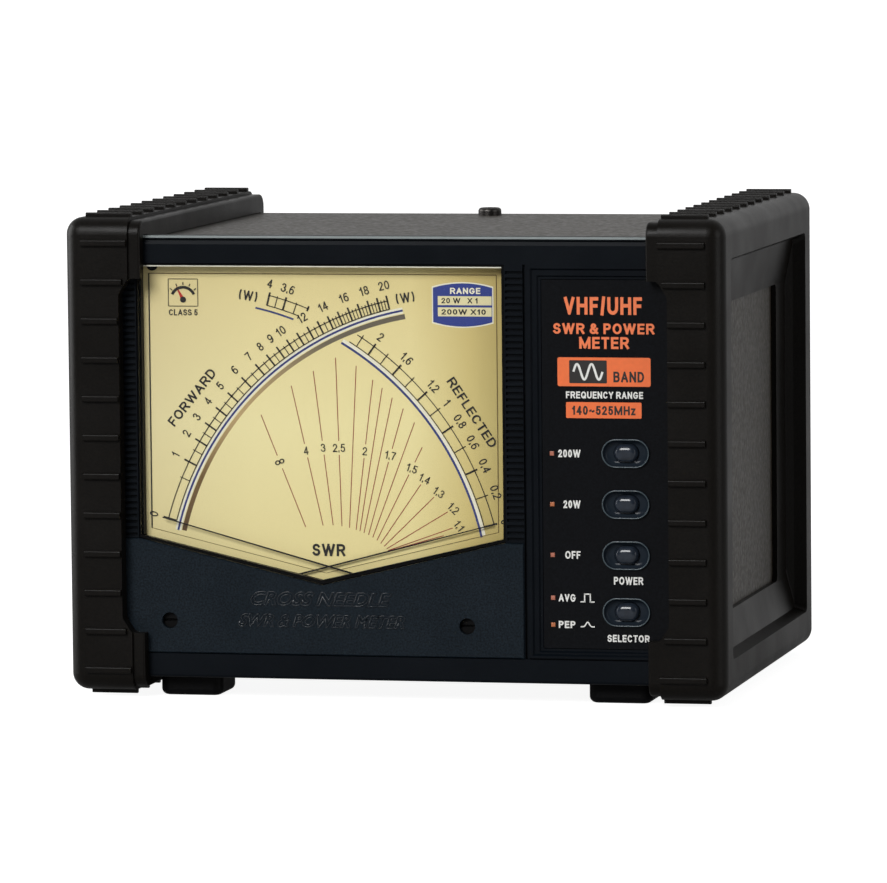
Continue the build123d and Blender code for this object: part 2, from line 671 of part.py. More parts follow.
def moving_coil(pivot_x, coil_angle):
    """Rectangular coil loop around the magnet, with the two halves of its arbor."""
    half = COIL_WIDTH / 2
    loop = block(-COIL_OUTER, COIL_OUTER, COIL_FRONT, COIL_BACK, -half, half)
    loop -= block(-COIL_INNER, COIL_INNER, COIL_FRONT + 0.8, COIL_BACK - 0.8, -5, 5)
    loop = fillet(loop.edges().filter_by(Axis.Z).group_by(Axis.X)[0]
                  + loop.edges().filter_by(Axis.Z).group_by(Axis.X)[-1], 0.6)
    turned = Rot(0, -coil_angle, 0) * loop
    front = rod(0, 0, BRIDGE_FRONT - 0.3, COIL_FRONT + 0.1, ARBOR_R)
    rear = rod(0, 0, COIL_BACK - 0.1, REAR_BRIDGE + 0.9, ARBOR_R)
    return Pos(pivot_x, 0, PIVOT_Z) * (turned + front + rear)


def magnet(pivot_x):
    core = rod(pivot_x, PIVOT_Z, MAGNET_FRONT, MAGNET_BACK, MAGNET_R)
    return chamfer(core.edges().filter_by(GeomType.CIRCLE), 0.3)


def yoke(pivot_x, frame_angle):
    """Soft-iron ring with two webs that hold the magnet."""
    ring = rod(0, 0, MAGNET_FRONT, MAGNET_BACK, YOKE_OUTER) - rod(0, 0, 0, 40, YOKE_INNER)
    web = block(-YOKE_INNER - 0.5, YOKE_INNER + 0.5, MAGNET_FRONT + 1, MAGNET_BACK - 1, -1.2, 1.2)
    ring += Rot(0, -frame_angle, 0) * (web - rod(0, 0, 0, 40, MAGNET_R))
    for side in (-1, 1):
        hole = rod(side * PILLAR_REACH * math.sqrt(2), 0, 0, 40, PILLAR_R)
        ear = rod(side * PILLAR_REACH * math.sqrt(2), 0, MAGNET_FRONT, MAGNET_BACK, PILLAR_R + 0.9)
        ear -= rod(0, 0, 0, 40, YOKE_INNER + 1)
        ring += Rot(0, -frame_angle, 0) * ear
        ring -= Rot(0, -frame_angle, 0) * hole
    return Pos(pivot_x, 0, PIVOT_Z) * ring


def movement_frame(pivot_x, frame_angle):
    """Front and rear jewel bridges joined by two pillars to the housing's back wall."""
    reach = PILLAR_REACH * math.sqrt(2)
    back = HOUSING_BACK - 1.5
    frame = None
    for d in (BRIDGE_FRONT, REAR_BRIDGE):
        bar = block(-reach, reach, d, d + BRIDGE_THICK, -1.6, 1.6)
        frame = bar if frame is None else frame + bar
    for side in (-1, 1):
        frame += rod(side * reach, 0, BRIDGE_FRONT, back, PILLAR_R)
        frame += rod(side * reach, 0, REAR_BRIDGE, back, PILLAR_R + 0.6)
    frame += rod(0, 0, BRIDGE_FRONT, BRIDGE_FRONT + BRIDGE_THICK, 2.2)
    frame += rod(0, 0, REAR_BRIDGE, REAR_BRIDGE + BRIDGE_THICK, 2.2)
    frame = Rot(0, -frame_angle, 0) * frame
    frame -= rod(0, 0, 0, 40, JEWEL_R)
    return Pos(pivot_x, 0, PIVOT_Z) * frame


def lever_angle(pivot_x, screw):
    """Direction from a pivot to its zero screw, in degrees above +X."""
    return math.degrees(math.atan2(screw[1] - PIVOT_Z, screw[0] - pivot_x))


def hairspring(pivot_x, screw):
    """Flat spiral of half turns, its outer end on the zero lever's stud."""
    arcs = []
    radius = SPRING_START
    centre = 0.0
    sign = -1
    for _ in range(SPRING_HALF_TURNS):
        begin = (centre + sign * radius, 0)
        middle = (centre, sign * radius)
        end = (centre - sign * radius, 0)
        arcs.append(ThreePointArc(begin, middle, end))
        centre += sign * SPRING_GROWTH / 2
        radius += SPRING_GROWTH / 2
        sign = -sign
    ribbon = trace(arcs, SPRING_STRIP)
    solid = extrude(face_plane(SPRING_FRONT + 0.5) * ribbon, amount=0.5)
    return Pos(pivot_x, 0, PIVOT_Z) * Rot(0, -lever_angle(pivot_x, screw), 0) * solid


def zero_fork(pivot_x, screw):
    """Lever on the arbor's axis, slotted for the eccentric pin of its zero screw."""
    reach = math.hypot(screw[0] - pivot_x, screw[1] - PIVOT_Z)
    angle = lever_angle(pivot_x, screw)
    pin_reach = reach - ECCENTRIC
    lever = block(0, pin_reach + 0.9, FORK_FRONT, FORK_FRONT + FORK_THICK, -1.1, 1.1)
    lever += rod(0, 0, FORK_FRONT, FORK_FRONT + FORK_THICK, 2.0)
    lever += rod(SPRING_END + SPRING_STRIP / 2 + 0.3, 0, SPRING_FRONT, FORK_FRONT, 0.3)
    slot = PIN_R + 0.06
    lever -= block(pin_reach - 0.9, pin_reach + 3, 0, 20, -slot, slot)
    lever -= rod(0, 0, 0, 20, ARBOR_R + 0.15)
    return Pos(pivot_x, 0, PIVOT_Z) * Rot(0, -angle, 0) * lever


def zero_screw(pivot_x, screw):
    """Slotted adjuster in the bezel's hole, with an eccentric pin behind it."""
    dx = pivot_x - screw[0]
    dz = PIVOT_Z - screw[1]
    reach = math.hypot(dx, dz)
    body = rod(screw[0], screw[1], 5.3, 7.9, ZERO_HOLE_R - 0.08)
    body -= block(screw[0] - 3, screw[0] + 3, 0, 6.1, screw[1] - 0.3, screw[1] + 0.3)
    pin_x = screw[0] + dx / reach * ECCENTRIC
    pin_z = screw[1] + dz / reach * ECCENTRIC
    return body + rod(pin_x, pin_z, 7.8, 9.1, PIN_R)


# Feet

def foot(x, d):
    """Square rubber foot with rounded corners, a rounded sole and a sunk screw hole."""
    body = block(x - FOOT_HALF, x + FOOT_HALF, d - FOOT_HALF, d + FOOT_HALF, 0, CASE_BOTTOM)
    body = fillet(body.edges().filter_by(Axis.Z), FOOT_CORNER)
    body = fillet(body.faces().sort_by(Axis.Z)[0].edges(), 1.6)
    return body - post(x, d, -1, 2.6, HEAD_R + 0.4) - post(x, d, -1, 9, SCREW_R + 0.1)


def foot_screws():
    screws = []
    for x in (-FOOT_X, FOOT_X):
        for d in FOOT_Y:
            head_up = Pos(x, depth(d), 2.6) * Rot(180, 0, 0)
            screws.append(head_up * pan_screw(6.5))
    return screws


# Sensor and connectors

def sensor_box():
    """Cast box behind the rear panel, open at the top, bored for both connectors."""
    z0, z1 = SENSOR_Z
    y0, y1 = SENSOR_Y
    wall = SENSOR_WALL
    box = block(-SENSOR_X, SENSOR_X, y0, y1, z0, z1)
    box = fillet(box.edges().filter_by(Axis.Z), 1.5)
    box -= block(-SENSOR_X + wall, SENSOR_X - wall, y0 + wall, y1 - wall, z0 + wall, z1 + 1)
    for x in (TX_X, ANT_X):
        box -= rod(x, CONNECTOR_Z, y1 - 5, y1 + 5, BODY_R)
        for i in (-1, 1):
            for j in (-1, 1):
                box -= rod(x + i * FLANGE_PITCH / 2, CONNECTOR_Z + j * FLANGE_PITCH / 2,
                           y1 - 5, y1 + 5, SCREW_R)
    return box


def sensor_lid():
    z1 = SENSOR_Z[1]
    lid = block(-SENSOR_X, SENSOR_X, SENSOR_Y[0], SENSOR_Y[1], z1, z1 + 1.2)
    return fillet(lid.edges().filter_by(Axis.Z), 1.5)


def coupler_line():
    """Round inner conductor from one connector to the other."""
    d = (SENSOR_Y[0] + SENSOR_Y[1]) / 2
    centre = Pos((TX_X + ANT_X) / 2, depth(d), CONNECTOR_Z)
    return centre * Rot(0, 90, 0) * Cylinder(1.6, TX_X - ANT_X + 6)


def sensor_board():
    """Coupled-line circuit board under the inner conductor."""
    inset = SENSOR_WALL + 0.4
    return block(-SENSOR_X + inset, SENSOR_X - inset, SENSOR_Y[0] + inset, SENSOR_Y[1] - inset,
                 CONNECTOR_Z - 7.6, CONNECTOR_Z - 7.6 + BOARD_THICK)


def n_socket(x):
    """Panel socket: square flange, threaded barrel and a body through the panel."""
    front = REAR_PANEL_BACK
    flange = block(x - FLANGE / 2, x + FLANGE / 2, front, front + FLANGE_THICK,
                   CONNECTOR_Z - FLANGE / 2, CONNECTOR_Z + FLANGE / 2)
    flange = fillet(flange.edges().filter_by(Axis.Y), 1.5)
    barrel = rod(x, CONNECTOR_Z, front, front + CONNECTOR_REACH, THREAD_R)
    barrel = chamfer(barrel.faces().sort_by(Axis.Y)[-1].edges(), 0.6)
    body = rod(x, CONNECTOR_Z, SENSOR_Y[1] - SENSOR_WALL, front, BODY_R)
    socket = flange + barrel + body
    socket -= rod(x, CONNECTOR_Z, front + CONNECTOR_REACH - SOCKET_DEPTH, 200, SOCKET_R)
    socket -= rod(x, CONNECTOR_Z, 0, 200, 3.2)
    for i in (-1, 1):
        for j in (-1, 1):
            hole_x = x + i * FLANGE_PITCH / 2
            hole_z = CONNECTOR_Z + j * FLANGE_PITCH / 2
            socket -= rod(hole_x, hole_z, 0, 200, SCREW_R)
    return socket


def socket_insulators():
    inner = SENSOR_Y[1] - SENSOR_WALL
    outer = REAR_PANEL_BACK + CONNECTOR_REACH - SOCKET_DEPTH
    sleeves = []
    for x in (TX_X, ANT_X):
        sleeves.append(rod(x, CONNECTOR_Z, inner, outer, 3.2) - rod(x, CONNECTOR_Z, 0, 200, 1.5))
    return [solid for sleeve in sleeves for solid in sleeve.solids()]


def centre_contacts():
    """Centre contacts, from the inner conductor to just inside each socket's mouth."""
    middle = (SENSOR_Y[0] + SENSOR_Y[1]) / 2
    contacts = []
    for x in (TX_X, ANT_X):
        pin = rod(x, CONNECTOR_Z, middle + 1.6, REAR_PANEL_BACK + CONNECTOR_REACH - 2.5, 1.5)
        pin -= rod(x, CONNECTOR_Z, REAR_PANEL_BACK + CONNECTOR_REACH - 9, 200, 0.85)
        line = coupler_line()
        contacts.append(pin - line)
    return [solid for pin in contacts for solid in pin.solids()]


def connector_screws():
    screws = []
    for x in (TX_X, ANT_X):
        for i in (-1, 1):
            for j in (-1, 1):
                hole_x = x + i * FLANGE_PITCH / 2
                hole_z = CONNECTOR_Z + j * FLANGE_PITCH / 2
                screw = pan_screw(5.5, head_r=2.6, head_high=1.7)
                back = depth(REAR_PANEL_BACK + FLANGE_THICK)
                screws.append(Pos(hole_x, back, hole_z) * Rot(-90, 0, 0) * screw)
    return screws


def dc_jack():
    """Round supply jack: barrel through the panel, flange behind it and a centre pin."""
    front = REAR_PANEL_BACK
    jack = rod(JACK_X, JACK_Z, front - SHEET, front + 3.6, JACK_R)
    jack += rod(JACK_X, JACK_Z, front - 10, front - SHEET, 5.2)
    jack -= rod(JACK_X, JACK_Z, front - 6.5, front + 10, 2.8)
    return jack + rod(JACK_X, JACK_Z, front - 7, front + 2.4, 1.05)


def dc_jack_nut():
    front = REAR_PANEL_BACK
    hexagon = face_plane(front + 2.2) * Pos(JACK_X, JACK_Z) * RegularPolygon(6.2, 6)
    return extrude(hexagon, amount=2.2) - rod(JACK_X, JACK_Z, 0, 200, JACK_R)


def build():
    os.makedirs("parts", exist_ok=True)
    guard = right_guard()
    save(guard, "right_guard")
    save(mirror(guard, Plane.YZ), "left_guard")
    save(guard_screws(), "guard_screws")
    save(top_cover(), "top_cover")
    save(bottom_chassis(), "bottom_chassis")
    save(rear_panel(), "rear_panel")
    save(cover_screw(), "cover_screw")
    save(rear_panel_screws(), "rear_panel_screws")
    save(front_frame(), "front_frame")
    save(lower_bezel(), "lower_bezel")
    save(control_panel(), "control_panel")
    for name, z in BUTTON_Z.items():
        save(push_button(z), name)
    for name, z in LED_Z.items():
        save(indicator(z), name)
    save(tact_switches(), "tact_switches")
    save(control_board(), "control_board")
    save(board_screws(), "board_screws")
    save(window_pane(), "window_pane")
    save(window_rim(), "window_rim")
    save(meter_housing(), "meter_housing")
    save(scale_plate(), "scale_plate")
    save(dial_lamps(), "dial_lamps")
    forward = ("forward", FORWARD_X, FORWARD_SCREW, FORWARD_REST, FORWARD_LENGTH, FORWARD_PLANE)
    reflected = ("reflected", REFLECTED_X, REFLECTED_SCREW, REFLECTED_REST, REFLECTED_LENGTH,
                 REFLECTED_PLANE)
    for side, x, screw, rest, length, plane in (forward, reflected):
        mirrored = side == "forward"
        frame_angle = 45 if mirrored else 135
        swing = NEEDLE_SPAN / 2 if mirrored else -NEEDLE_SPAN / 2
        save(needle(x, rest, length, plane, mirrored), side + "_needle")
        save(moving_coil(x, frame_angle + 90 + swing), side + "_coil")
        save(magnet(x), side + "_magnet")
        save(yoke(x, frame_angle), side + "_yoke")
        save(movement_frame(x, frame_angle), side + "_movement_frame")
        save(hairspring(x, screw), side + "_hairspring")
        save(zero_fork(x, screw), side + "_zero_fork")
        save(zero_screw(x, screw), side + "_zero_screw")
    for x, side in ((-FOOT_X, "left"), (FOOT_X, "right")):
        for d, end in zip(FOOT_Y, ("front", "rear")):
            save(foot(x, d), end + "_" + side + "_foot")
    save(foot_screws(), "foot_screws")
    save(sensor_box(), "sensor_box")
    save(sensor_lid(), "sensor_lid")
    save(coupler_line(), "coupler_line")
    save(sensor_board(), "sensor_board")
    save(n_socket(TX_X), "transmitter_socket")
    save(n_socket(ANT_X), "antenna_socket")
    save(socket_insulators(), "socket_insulators")
    save(centre_contacts(), "centre_contacts")
    save(connector_screws(), "connector_screws")
    save(dc_jack(), "dc_jack")
    save(dc_jack_nut(), "dc_jack_nut")


build()
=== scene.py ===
import math

import bpy
from mathutils import Matrix, Vector
from mathutils.geometry import delaunay_2d_cdt
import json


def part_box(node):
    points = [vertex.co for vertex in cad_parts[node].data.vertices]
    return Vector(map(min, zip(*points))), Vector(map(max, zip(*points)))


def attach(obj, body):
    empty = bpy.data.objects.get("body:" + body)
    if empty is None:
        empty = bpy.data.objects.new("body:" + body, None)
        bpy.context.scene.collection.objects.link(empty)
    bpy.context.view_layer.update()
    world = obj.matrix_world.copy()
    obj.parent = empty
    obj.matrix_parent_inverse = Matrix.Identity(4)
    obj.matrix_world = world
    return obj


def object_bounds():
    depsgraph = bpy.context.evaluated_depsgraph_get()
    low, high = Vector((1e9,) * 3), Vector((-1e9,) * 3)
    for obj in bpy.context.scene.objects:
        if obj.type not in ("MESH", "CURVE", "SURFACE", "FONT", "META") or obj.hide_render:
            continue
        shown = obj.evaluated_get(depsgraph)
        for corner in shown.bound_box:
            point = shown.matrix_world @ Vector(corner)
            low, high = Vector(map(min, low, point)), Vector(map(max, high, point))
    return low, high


# Bench cross-needle SWR and power meter. Places are in metres, and MM turns the millimetres of
# a drawing into metres. +X is to the viewer's right, +Y to the rear and +Z up.

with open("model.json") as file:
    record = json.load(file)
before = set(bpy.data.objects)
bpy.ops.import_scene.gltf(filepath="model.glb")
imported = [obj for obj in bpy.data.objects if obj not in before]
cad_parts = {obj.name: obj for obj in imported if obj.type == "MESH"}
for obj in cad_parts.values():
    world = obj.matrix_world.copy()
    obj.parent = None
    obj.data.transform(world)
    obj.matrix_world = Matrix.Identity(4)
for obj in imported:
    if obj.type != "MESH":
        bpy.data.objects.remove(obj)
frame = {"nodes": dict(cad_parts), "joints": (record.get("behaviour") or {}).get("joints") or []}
CAD_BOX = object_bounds()
NODES = frame["nodes"]
JOINTS = {joint["name"]: joint for joint in frame["joints"]}
MM = 0.001

BUTTON_NODES = ("power_200w_button", "power_20w_button", "power_off_button", "selector_button")
LED_NODES = ("led_200w", "led_20w", "led_off", "led_average", "led_peak")
DISH_STRAIGHT = 4.8    # distance between the two rounded ends' centres of a key's dish
DISH_RADIUS = 3.56
DISH_RAISE = 0.6       # height of the dish's rim over the panel's face


def add_piece(name, mesh):
    """Object of a finished mesh, riding with the body."""
    piece = bpy.data.objects.new(name, mesh)
    bpy.context.scene.collection.objects.link(piece)
    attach(piece, "body")
    return piece


# Colours and materials

def srgb(red, green, blue):
    """Linear colour of a 0-255 display colour."""
    def channel(value):
        value /= 255
        return value / 12.92 if value <= 0.04045 else ((value + 0.055) / 1.055) ** 2.4
    return (channel(red), channel(green), channel(blue), 1.0)


def scaled(colour, factor):
    return tuple(min(1.0, c * factor) for c in colour[:3]) + (1.0,)


def spread(colour, factor):
    """Two stops of a colour ramp over a noise: the colour scaled by a factor, then the colour."""
    return [(0.3, scaled(colour, factor)), (0.7, colour)]


class Builder:
    """Node tree of one material, with a Principled shader at its end."""

    def __init__(self, name, roughness=0.5, metallic=0.0, specular=0.5):
        self.material = bpy.data.materials.new(name)
        self.material.use_nodes = True
        self.tree = self.material.node_tree
        self.shader = self.tree.nodes["Principled BSDF"]
        self.shader.inputs["Roughness"].default_value = roughness
        self.shader.inputs["Metallic"].default_value = metallic
        self.shader.inputs["Specular IOR Level"].default_value = specular
        self.place = self.node("ShaderNodeTexCoord").outputs["Object"]

    def node(self, kind, **values):
        item = self.tree.nodes.new(kind)
        for key, value in values.items():
            setattr(item, key, value)
        return item

    def link(self, source, target):
        self.tree.links.new(source, target)

    def noise(self, size_mm, detail=2.0, roughness=0.5):
        texture = self.node("ShaderNodeTexNoise")
        texture.inputs["Scale"].default_value = 1.0 / (size_mm * MM)
        texture.inputs["Detail"].default_value = detail
        texture.inputs["Roughness"].default_value = roughness
        self.link(self.place, texture.inputs["Vector"])
        return texture.outputs["Fac"]

    def cells(self, size_mm):
        texture = self.node("ShaderNodeTexVoronoi", feature="SMOOTH_F1")
        texture.inputs["Scale"].default_value = 1.0 / (size_mm * MM)
        self.link(self.place, texture.inputs["Vector"])
        return texture.outputs["Distance"]

    def ramp(self, factor, stops):
        item = self.node("ShaderNodeValToRGB")
        elements = item.color_ramp.elements
        while len(elements) < len(stops):
            elements.new(0.5)
        for element, (position, colour) in zip(elements, stops):
            element.position = position
            element.color = colour
        self.link(factor, item.inputs["Fac"])
        return item.outputs["Color"]

    def between(self, value, low, high, to_low=0.0, to_high=1.0):
        item = self.node("ShaderNodeMapRange")
        for key, number in (("From Min", low), ("From Max", high), ("To Min", to_low), ("To Max", to_high)):
            item.inputs[key].default_value = number
        self.link(value, item.inputs["Value"])
        return item.outputs["Result"]

    def mix(self, factor, first, second, blend="MIX"):
        item = self.node("ShaderNodeMix", data_type="RGBA", blend_type=blend)
        for socket, value in (("Factor", factor), ("A", first), ("B", second)):
            self.set(item.inputs[socket], value)
        return item.outputs["Result"]

    def math(self, operation, first, second=0.0):
        item = self.node("ShaderNodeMath", operation=operation)
        self.set(item.inputs[0], first)
        self.set(item.inputs[1], second)
        return item.outputs["Value"]

    def set(self, socket, value):
        if isinstance(value, bpy.types.NodeSocket):
            self.link(value, socket)
        else:
            socket.default_value = value

    def axes(self):
        """X and Z of the surface point."""
        split = self.node("ShaderNodeSeparateXYZ")
        self.link(self.place, split.inputs["Vector"])
        return split.outputs["X"], split.outputs["Z"]

    def base(self, value):
        self.set(self.shader.inputs["Base Color"], value)

    def bump(self, height, depth_mm, strength=1.0):
        item = self.node("ShaderNodeBump")
        item.inputs["Strength"].default_value = strength
        item.inputs["Distance"].default_value = depth_mm * MM
        self.link(height, item.inputs["Height"])
        if self.shader.inputs["Normal"].is_linked:
            self.link(self.shader.inputs["Normal"].links[0].from_socket, item.inputs["Normal"])
        self.link(item.outputs["Normal"], self.shader.inputs["Normal"])

    def rough(self, value, low, high):
        self.link(self.between(value, 0.3, 0.7, low, high), self.shader.inputs["Roughness"])


def grained(name, dark, light, grain_mm, depth_mm, rough, cloud_mm=25.0, metallic=0.0, specular=0.5):
    """Surface with a fine grain in its relief and colour over a slow cloudy drift."""
    item = Builder(name, metallic=metallic, specular=specular)
    grain = item.noise(grain_mm, 3.0, 0.6)
    cloud = item.noise(cloud_mm, 2.0)
    tint = item.ramp(grain, [(0.35, dark), (0.65, light)])
    shade = item.ramp(cloud, [(0.3, (0.85, 0.85, 0.85, 1)), (0.7, (1, 1, 1, 1))])
    item.base(item.mix(1.0, tint, shade, "MULTIPLY"))
    item.rough(cloud, *rough)
    item.bump(grain, depth_mm)
    return item


def ink(name, colour, wear=0.92):
    """Printed ink, slightly uneven."""
    item = Builder(name, 0.55)
    item.base(item.ramp(item.noise(1.2, 3.0), spread(colour, wear)))
    return item.material


def assign(material, *names):
    for name in names:
        NODES[name].data.materials.clear()
        NODES[name].data.materials.append(material)


def pair(part):
    """A part's two nodes, one for each needle."""
    return "forward_" + part, "reflected_" + part


def guard_material():
    item = grained("guard_rubber", srgb(8, 6, 4), srgb(15, 12, 9), 0.5, 0.035, (0.32, 0.42), 18.0,
                   specular=0.13)
    item.bump(item.noise(1.4, 2.0), 0.03, 0.6)
    return item.material


def hammer_material():
    item = Builder("hammer_paint", 0.36, specular=0.45)
    cell = item.cells(1.9)
    fine = item.noise(0.7, 3.0)
    tint = item.ramp(fine, [(0.35, srgb(30, 26, 21)), (0.65, srgb(62, 56, 46))])
    shade = item.ramp(cell, [(0.2, (1, 1, 1, 1)), (0.75, (0.62, 0.62, 0.62, 1))])
    item.base(item.mix(1.0, tint, shade, "MULTIPLY"))
    item.rough(item.noise(1.2), 0.34, 0.55)
    item.bump(cell, 0.12, 0.7)
    item.bump(fine, 0.05, 0.5)
    return item.material


def metal_material(name, colour, rough, grain=0.25, depth=0.004):
    item = grained(name, scaled(colour, 0.85), colour, grain, depth, (rough, rough + 0.1), 6.0,
                   metallic=1.0)
    return item.material


def plastic_material(name, colour, rough, grain=0.3, depth=0.006, specular=0.3):
    item = grained(name, scaled(colour, 0.8), scaled(colour, 1.2), grain, depth, rough, 14.0,
                   specular=specular)
    return item.material


def panel_material():
    """Satin black panel whose key dishes are polished, and lighter in colour as a painted reflection."""
    grain_mm, depth_mm = 0.5, 0.008
    item = grained("panel_plastic", srgb(5, 6, 9), srgb(11, 13, 17), grain_mm, depth_mm, (0.36, 0.46), 14.0,
                   specular=0.09)
    x, z = item.axes()
    dish_polish_and_sheen = None
    for name in BUTTON_NODES:
        low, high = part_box(name)
        middle = (low + high) / 2
        along = item.math("ABSOLUTE", item.math("SUBTRACT", x, middle.x))
        along = item.math("MAXIMUM", item.math("SUBTRACT", along, DISH_STRAIGHT / 2 * MM), 0.0)
        across = item.math("SUBTRACT", z, middle.z)
        reach = item.math("SQRT", item.math("ADD", item.math("MULTIPLY", along, along),
                                            item.math("MULTIPLY", across, across)))
        near = item.math("LESS_THAN", reach, DISH_RADIUS * MM)
        dish_polish_and_sheen = near if dish_polish_and_sheen is None else item.math("MAXIMUM", dish_polish_and_sheen, near)
    base = item.shader.inputs["Base Color"].links[0].from_socket
    # The dishes' lighter colour is a painted reflection; their lower roughness is real polish.
    item.base(item.mix(dish_polish_and_sheen, base, srgb(30, 37, 45)))
    item.link(item.between(dish_polish_and_sheen, 0.0, 1.0, 0.42, 0.16), item.shader.inputs["Roughness"])
    item.tree.links.remove(item.shader.inputs["Normal"].links[0])
    grain = item.noise(grain_mm, 3.0, 0.6)
    item.bump(item.math("MULTIPLY", grain, item.math("SUBTRACT", 1.0, dish_polish_and_sheen)), depth_mm)
    return item.material


def window_material():
    """Clear acrylic: see-through face on, with more gloss at a slant."""
    item = Builder("window_clear", 0.05)
    tint = [(0.3, (0.020, 0.022, 0.024, 1)), (0.7, (0.026, 0.028, 0.030, 1))]
    item.base(item.ramp(item.noise(20.0), tint))
    item.rough(item.noise(12.0), 0.03, 0.06)
    slant = item.node("ShaderNodeLayerWeight").outputs["Facing"]
    gloss = item.between(item.math("POWER", slant, 4.0), 0.0, 1.0, 0.02, 0.6)
    item.link(gloss, item.shader.inputs["Alpha"])
    return item.material


def scale_material():
    """Cream scale card with painted shade: deeper towards its top and its right side."""
    low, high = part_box("scale_plate")
    item = Builder("scale_card", 0.5)
    x, z = item.axes()
    across = item.between(x, low.x, high.x)
    upward = item.between(z, low.z, high.z)
    # Painted shade: the card falls to a deeper tone at its right side and, a little, at its top.
    side = item.ramp(across, [(0.0, srgb(240, 227, 172)), (0.12, srgb(243, 231, 174)),
                              (0.3, srgb(250, 238, 178)), (0.74, srgb(248, 235, 172)),
                              (0.9, srgb(222, 204, 134)), (1.0, srgb(196, 178, 108))])
    top = item.ramp(upward, [(0.0, srgb(244, 240, 230)), (0.5, srgb(255, 255, 255)),
                             (0.85, srgb(246, 242, 236)), (1.0, srgb(240, 234, 222))])
    body = item.mix(1.0, side, top, "MULTIPLY")
    speck = item.ramp(item.noise(0.4, 3.0), [(0.3, (0.97, 0.97, 0.95, 1)), (0.7, (1, 1, 1, 1))])
    item.base(item.mix(1.0, body, speck, "MULTIPLY"))
    return item.material


INKS = {
    "black": ink("ink_black", srgb(28, 24, 20)),
    "blue": ink("ink_blue", srgb(48, 58, 122)),
    "badge": ink("ink_badge_blue", srgb(38, 58, 140)),
    "pale": ink("ink_pale", srgb(244, 240, 216), wear=0.97),
    "cream": ink("ink_cream", srgb(236, 226, 176), wear=0.97),
    "red": ink("ink_red", srgb(150, 52, 36)),
    "brown": ink("ink_brown", srgb(110, 90, 44)),
    "signal": ink("ink_signal_red", srgb(190, 40, 30)),
    "orange": ink("ink_orange", srgb(238, 122, 72)),
    "badge_orange": ink("ink_badge_orange", srgb(238, 112, 54)),
    "white": ink("ink_white", srgb(226, 226, 222)),
    "dark": ink("ink_dark", srgb(24, 18, 16)),
}


def led_material(name, colour, glow):
    item = Builder(name, 0.3)
    tint = item.ramp(item.noise(0.5), spread(colour, 0.9))
    item.base(tint)
    # Faint emission on the unlit LED windows: a painted glow.
    item.link(tint, item.shader.inputs["Emission Color"])
    item.shader.inputs["Emission Strength"].default_value = glow
    return item.material


def dress_nodes():
    """Give every CAD node its finish."""
    assign(guard_material(), "left_guard", "right_guard")
    assign(hammer_material(), "top_cover", "bottom_chassis", "rear_panel")
    assign(plastic_material("frame_plastic", srgb(7, 12, 18), (0.34, 0.44), specular=0.09), "front_frame")
    assign(grained("bezel_plastic", srgb(11, 18, 24), srgb(25, 35, 43), 0.45, 0.03, (0.38, 0.48), 14.0,
                   specular=0.11).material, "lower_bezel")
    assign(panel_material(), "control_panel")
    assign(plastic_material("button_plastic", srgb(34, 41, 51), (0.16, 0.22), 2.0, 0.002, 0.5),
           *BUTTON_NODES)
    assign(plastic_material("rim_plastic", srgb(4, 4, 5), (0.3, 0.4), 0.8, 0.003, 0.1), "window_rim")
    assign(plastic_material("zero_screw_plastic", srgb(4, 4, 5), (0.5, 0.6), 0.8, 0.004, 0.1),
           *pair("zero_screw"))
    assign(grained("foot_rubber", srgb(5, 5, 6), srgb(11, 11, 13), 0.5, 0.02, (0.4, 0.55),
                   specular=0.1).material,
           "front_left_foot", "front_right_foot", "rear_left_foot", "rear_right_foot")
    assign(metal_material("plated_steel", srgb(185, 185, 180), 0.25),
           "guard_screws", "rear_panel_screws", "board_screws", "connector_screws", "foot_screws")
    assign(metal_material("black_steel", srgb(70, 68, 66), 0.30), "cover_screw")
    assign(metal_material("nickel_plate", srgb(205, 203, 195), 0.16),
           "transmitter_socket", "antenna_socket", "dc_jack_nut")
    assign(metal_material("cast_alloy", srgb(168, 168, 164), 0.5, 0.6, 0.03), "sensor_box", "sensor_lid")
    assign(metal_material("brass_parts", srgb(205, 170, 95), 0.28), "coupler_line", "centre_contacts",
           *pair("movement_frame"), *pair("hairspring"), *pair("zero_fork"))
    assign(metal_material("copper_coil", srgb(190, 110, 70), 0.35), *pair("coil"))
    assign(metal_material("soft_iron", srgb(150, 150, 150), 0.4), *pair("magnet"), *pair("yoke"))
    assign(plastic_material("white_insulator", srgb(225, 224, 218), (0.35, 0.45)), "socket_insulators")
    assign(plastic_material("circuit_board", srgb(26, 84, 42), (0.35, 0.45)),
           "control_board", "sensor_board")
    assign(plastic_material("switch_plastic", srgb(22, 22, 24), (0.4, 0.5)), "tact_switches", "dc_jack")
    assign(plastic_material("housing_plastic", srgb(20, 20, 20), (0.5, 0.6)), "meter_housing")
    assign(plastic_material("lamp_glass", srgb(235, 225, 190), (0.2, 0.3)), "dial_lamps")
    assign(plastic_material("needle_black", srgb(16, 14, 14), (0.4, 0.5)), *pair("needle"))
    assign(window_material(), "window_pane")
    assign(scale_material(), "scale_plate")
    assign(led_material("led_red", srgb(170, 104, 84), 0.08), "led_200w", "led_off", "led_average")
    assign(led_material("led_orange", srgb(176, 104, 66), 0.08), "led_20w", "led_peak")


# Flat printing, drawn in X and Z millimetres and laid just in front of a surface

def bow(cx, cy, rx, ry, start, end, steps=10):
    """Points along an elliptical arc, from one angle to another in degrees."""
    points = []
    for i in range(steps + 1):
        angle = math.radians(start + (end - start) * i / steps)
        points.append((cx + rx * math.cos(angle), cy + ry * math.sin(angle)))
    return points


ROUND = bow(0.5, 0.5, 0.5, 0.5, 90, 450, 24)
BOWL = [(0, 0), (0, 1), (0.6, 1)] + bow(0.6, 0.74, 0.4, 0.26, 90, -90) + [(0, 0.48)]
SIX = [bow(0.5, 0.31, 0.5, 0.31, 180, 540, 18), [(0, 0.31)] + bow(0.66, 0.42, 0.66, 0.58, 175, 62)]

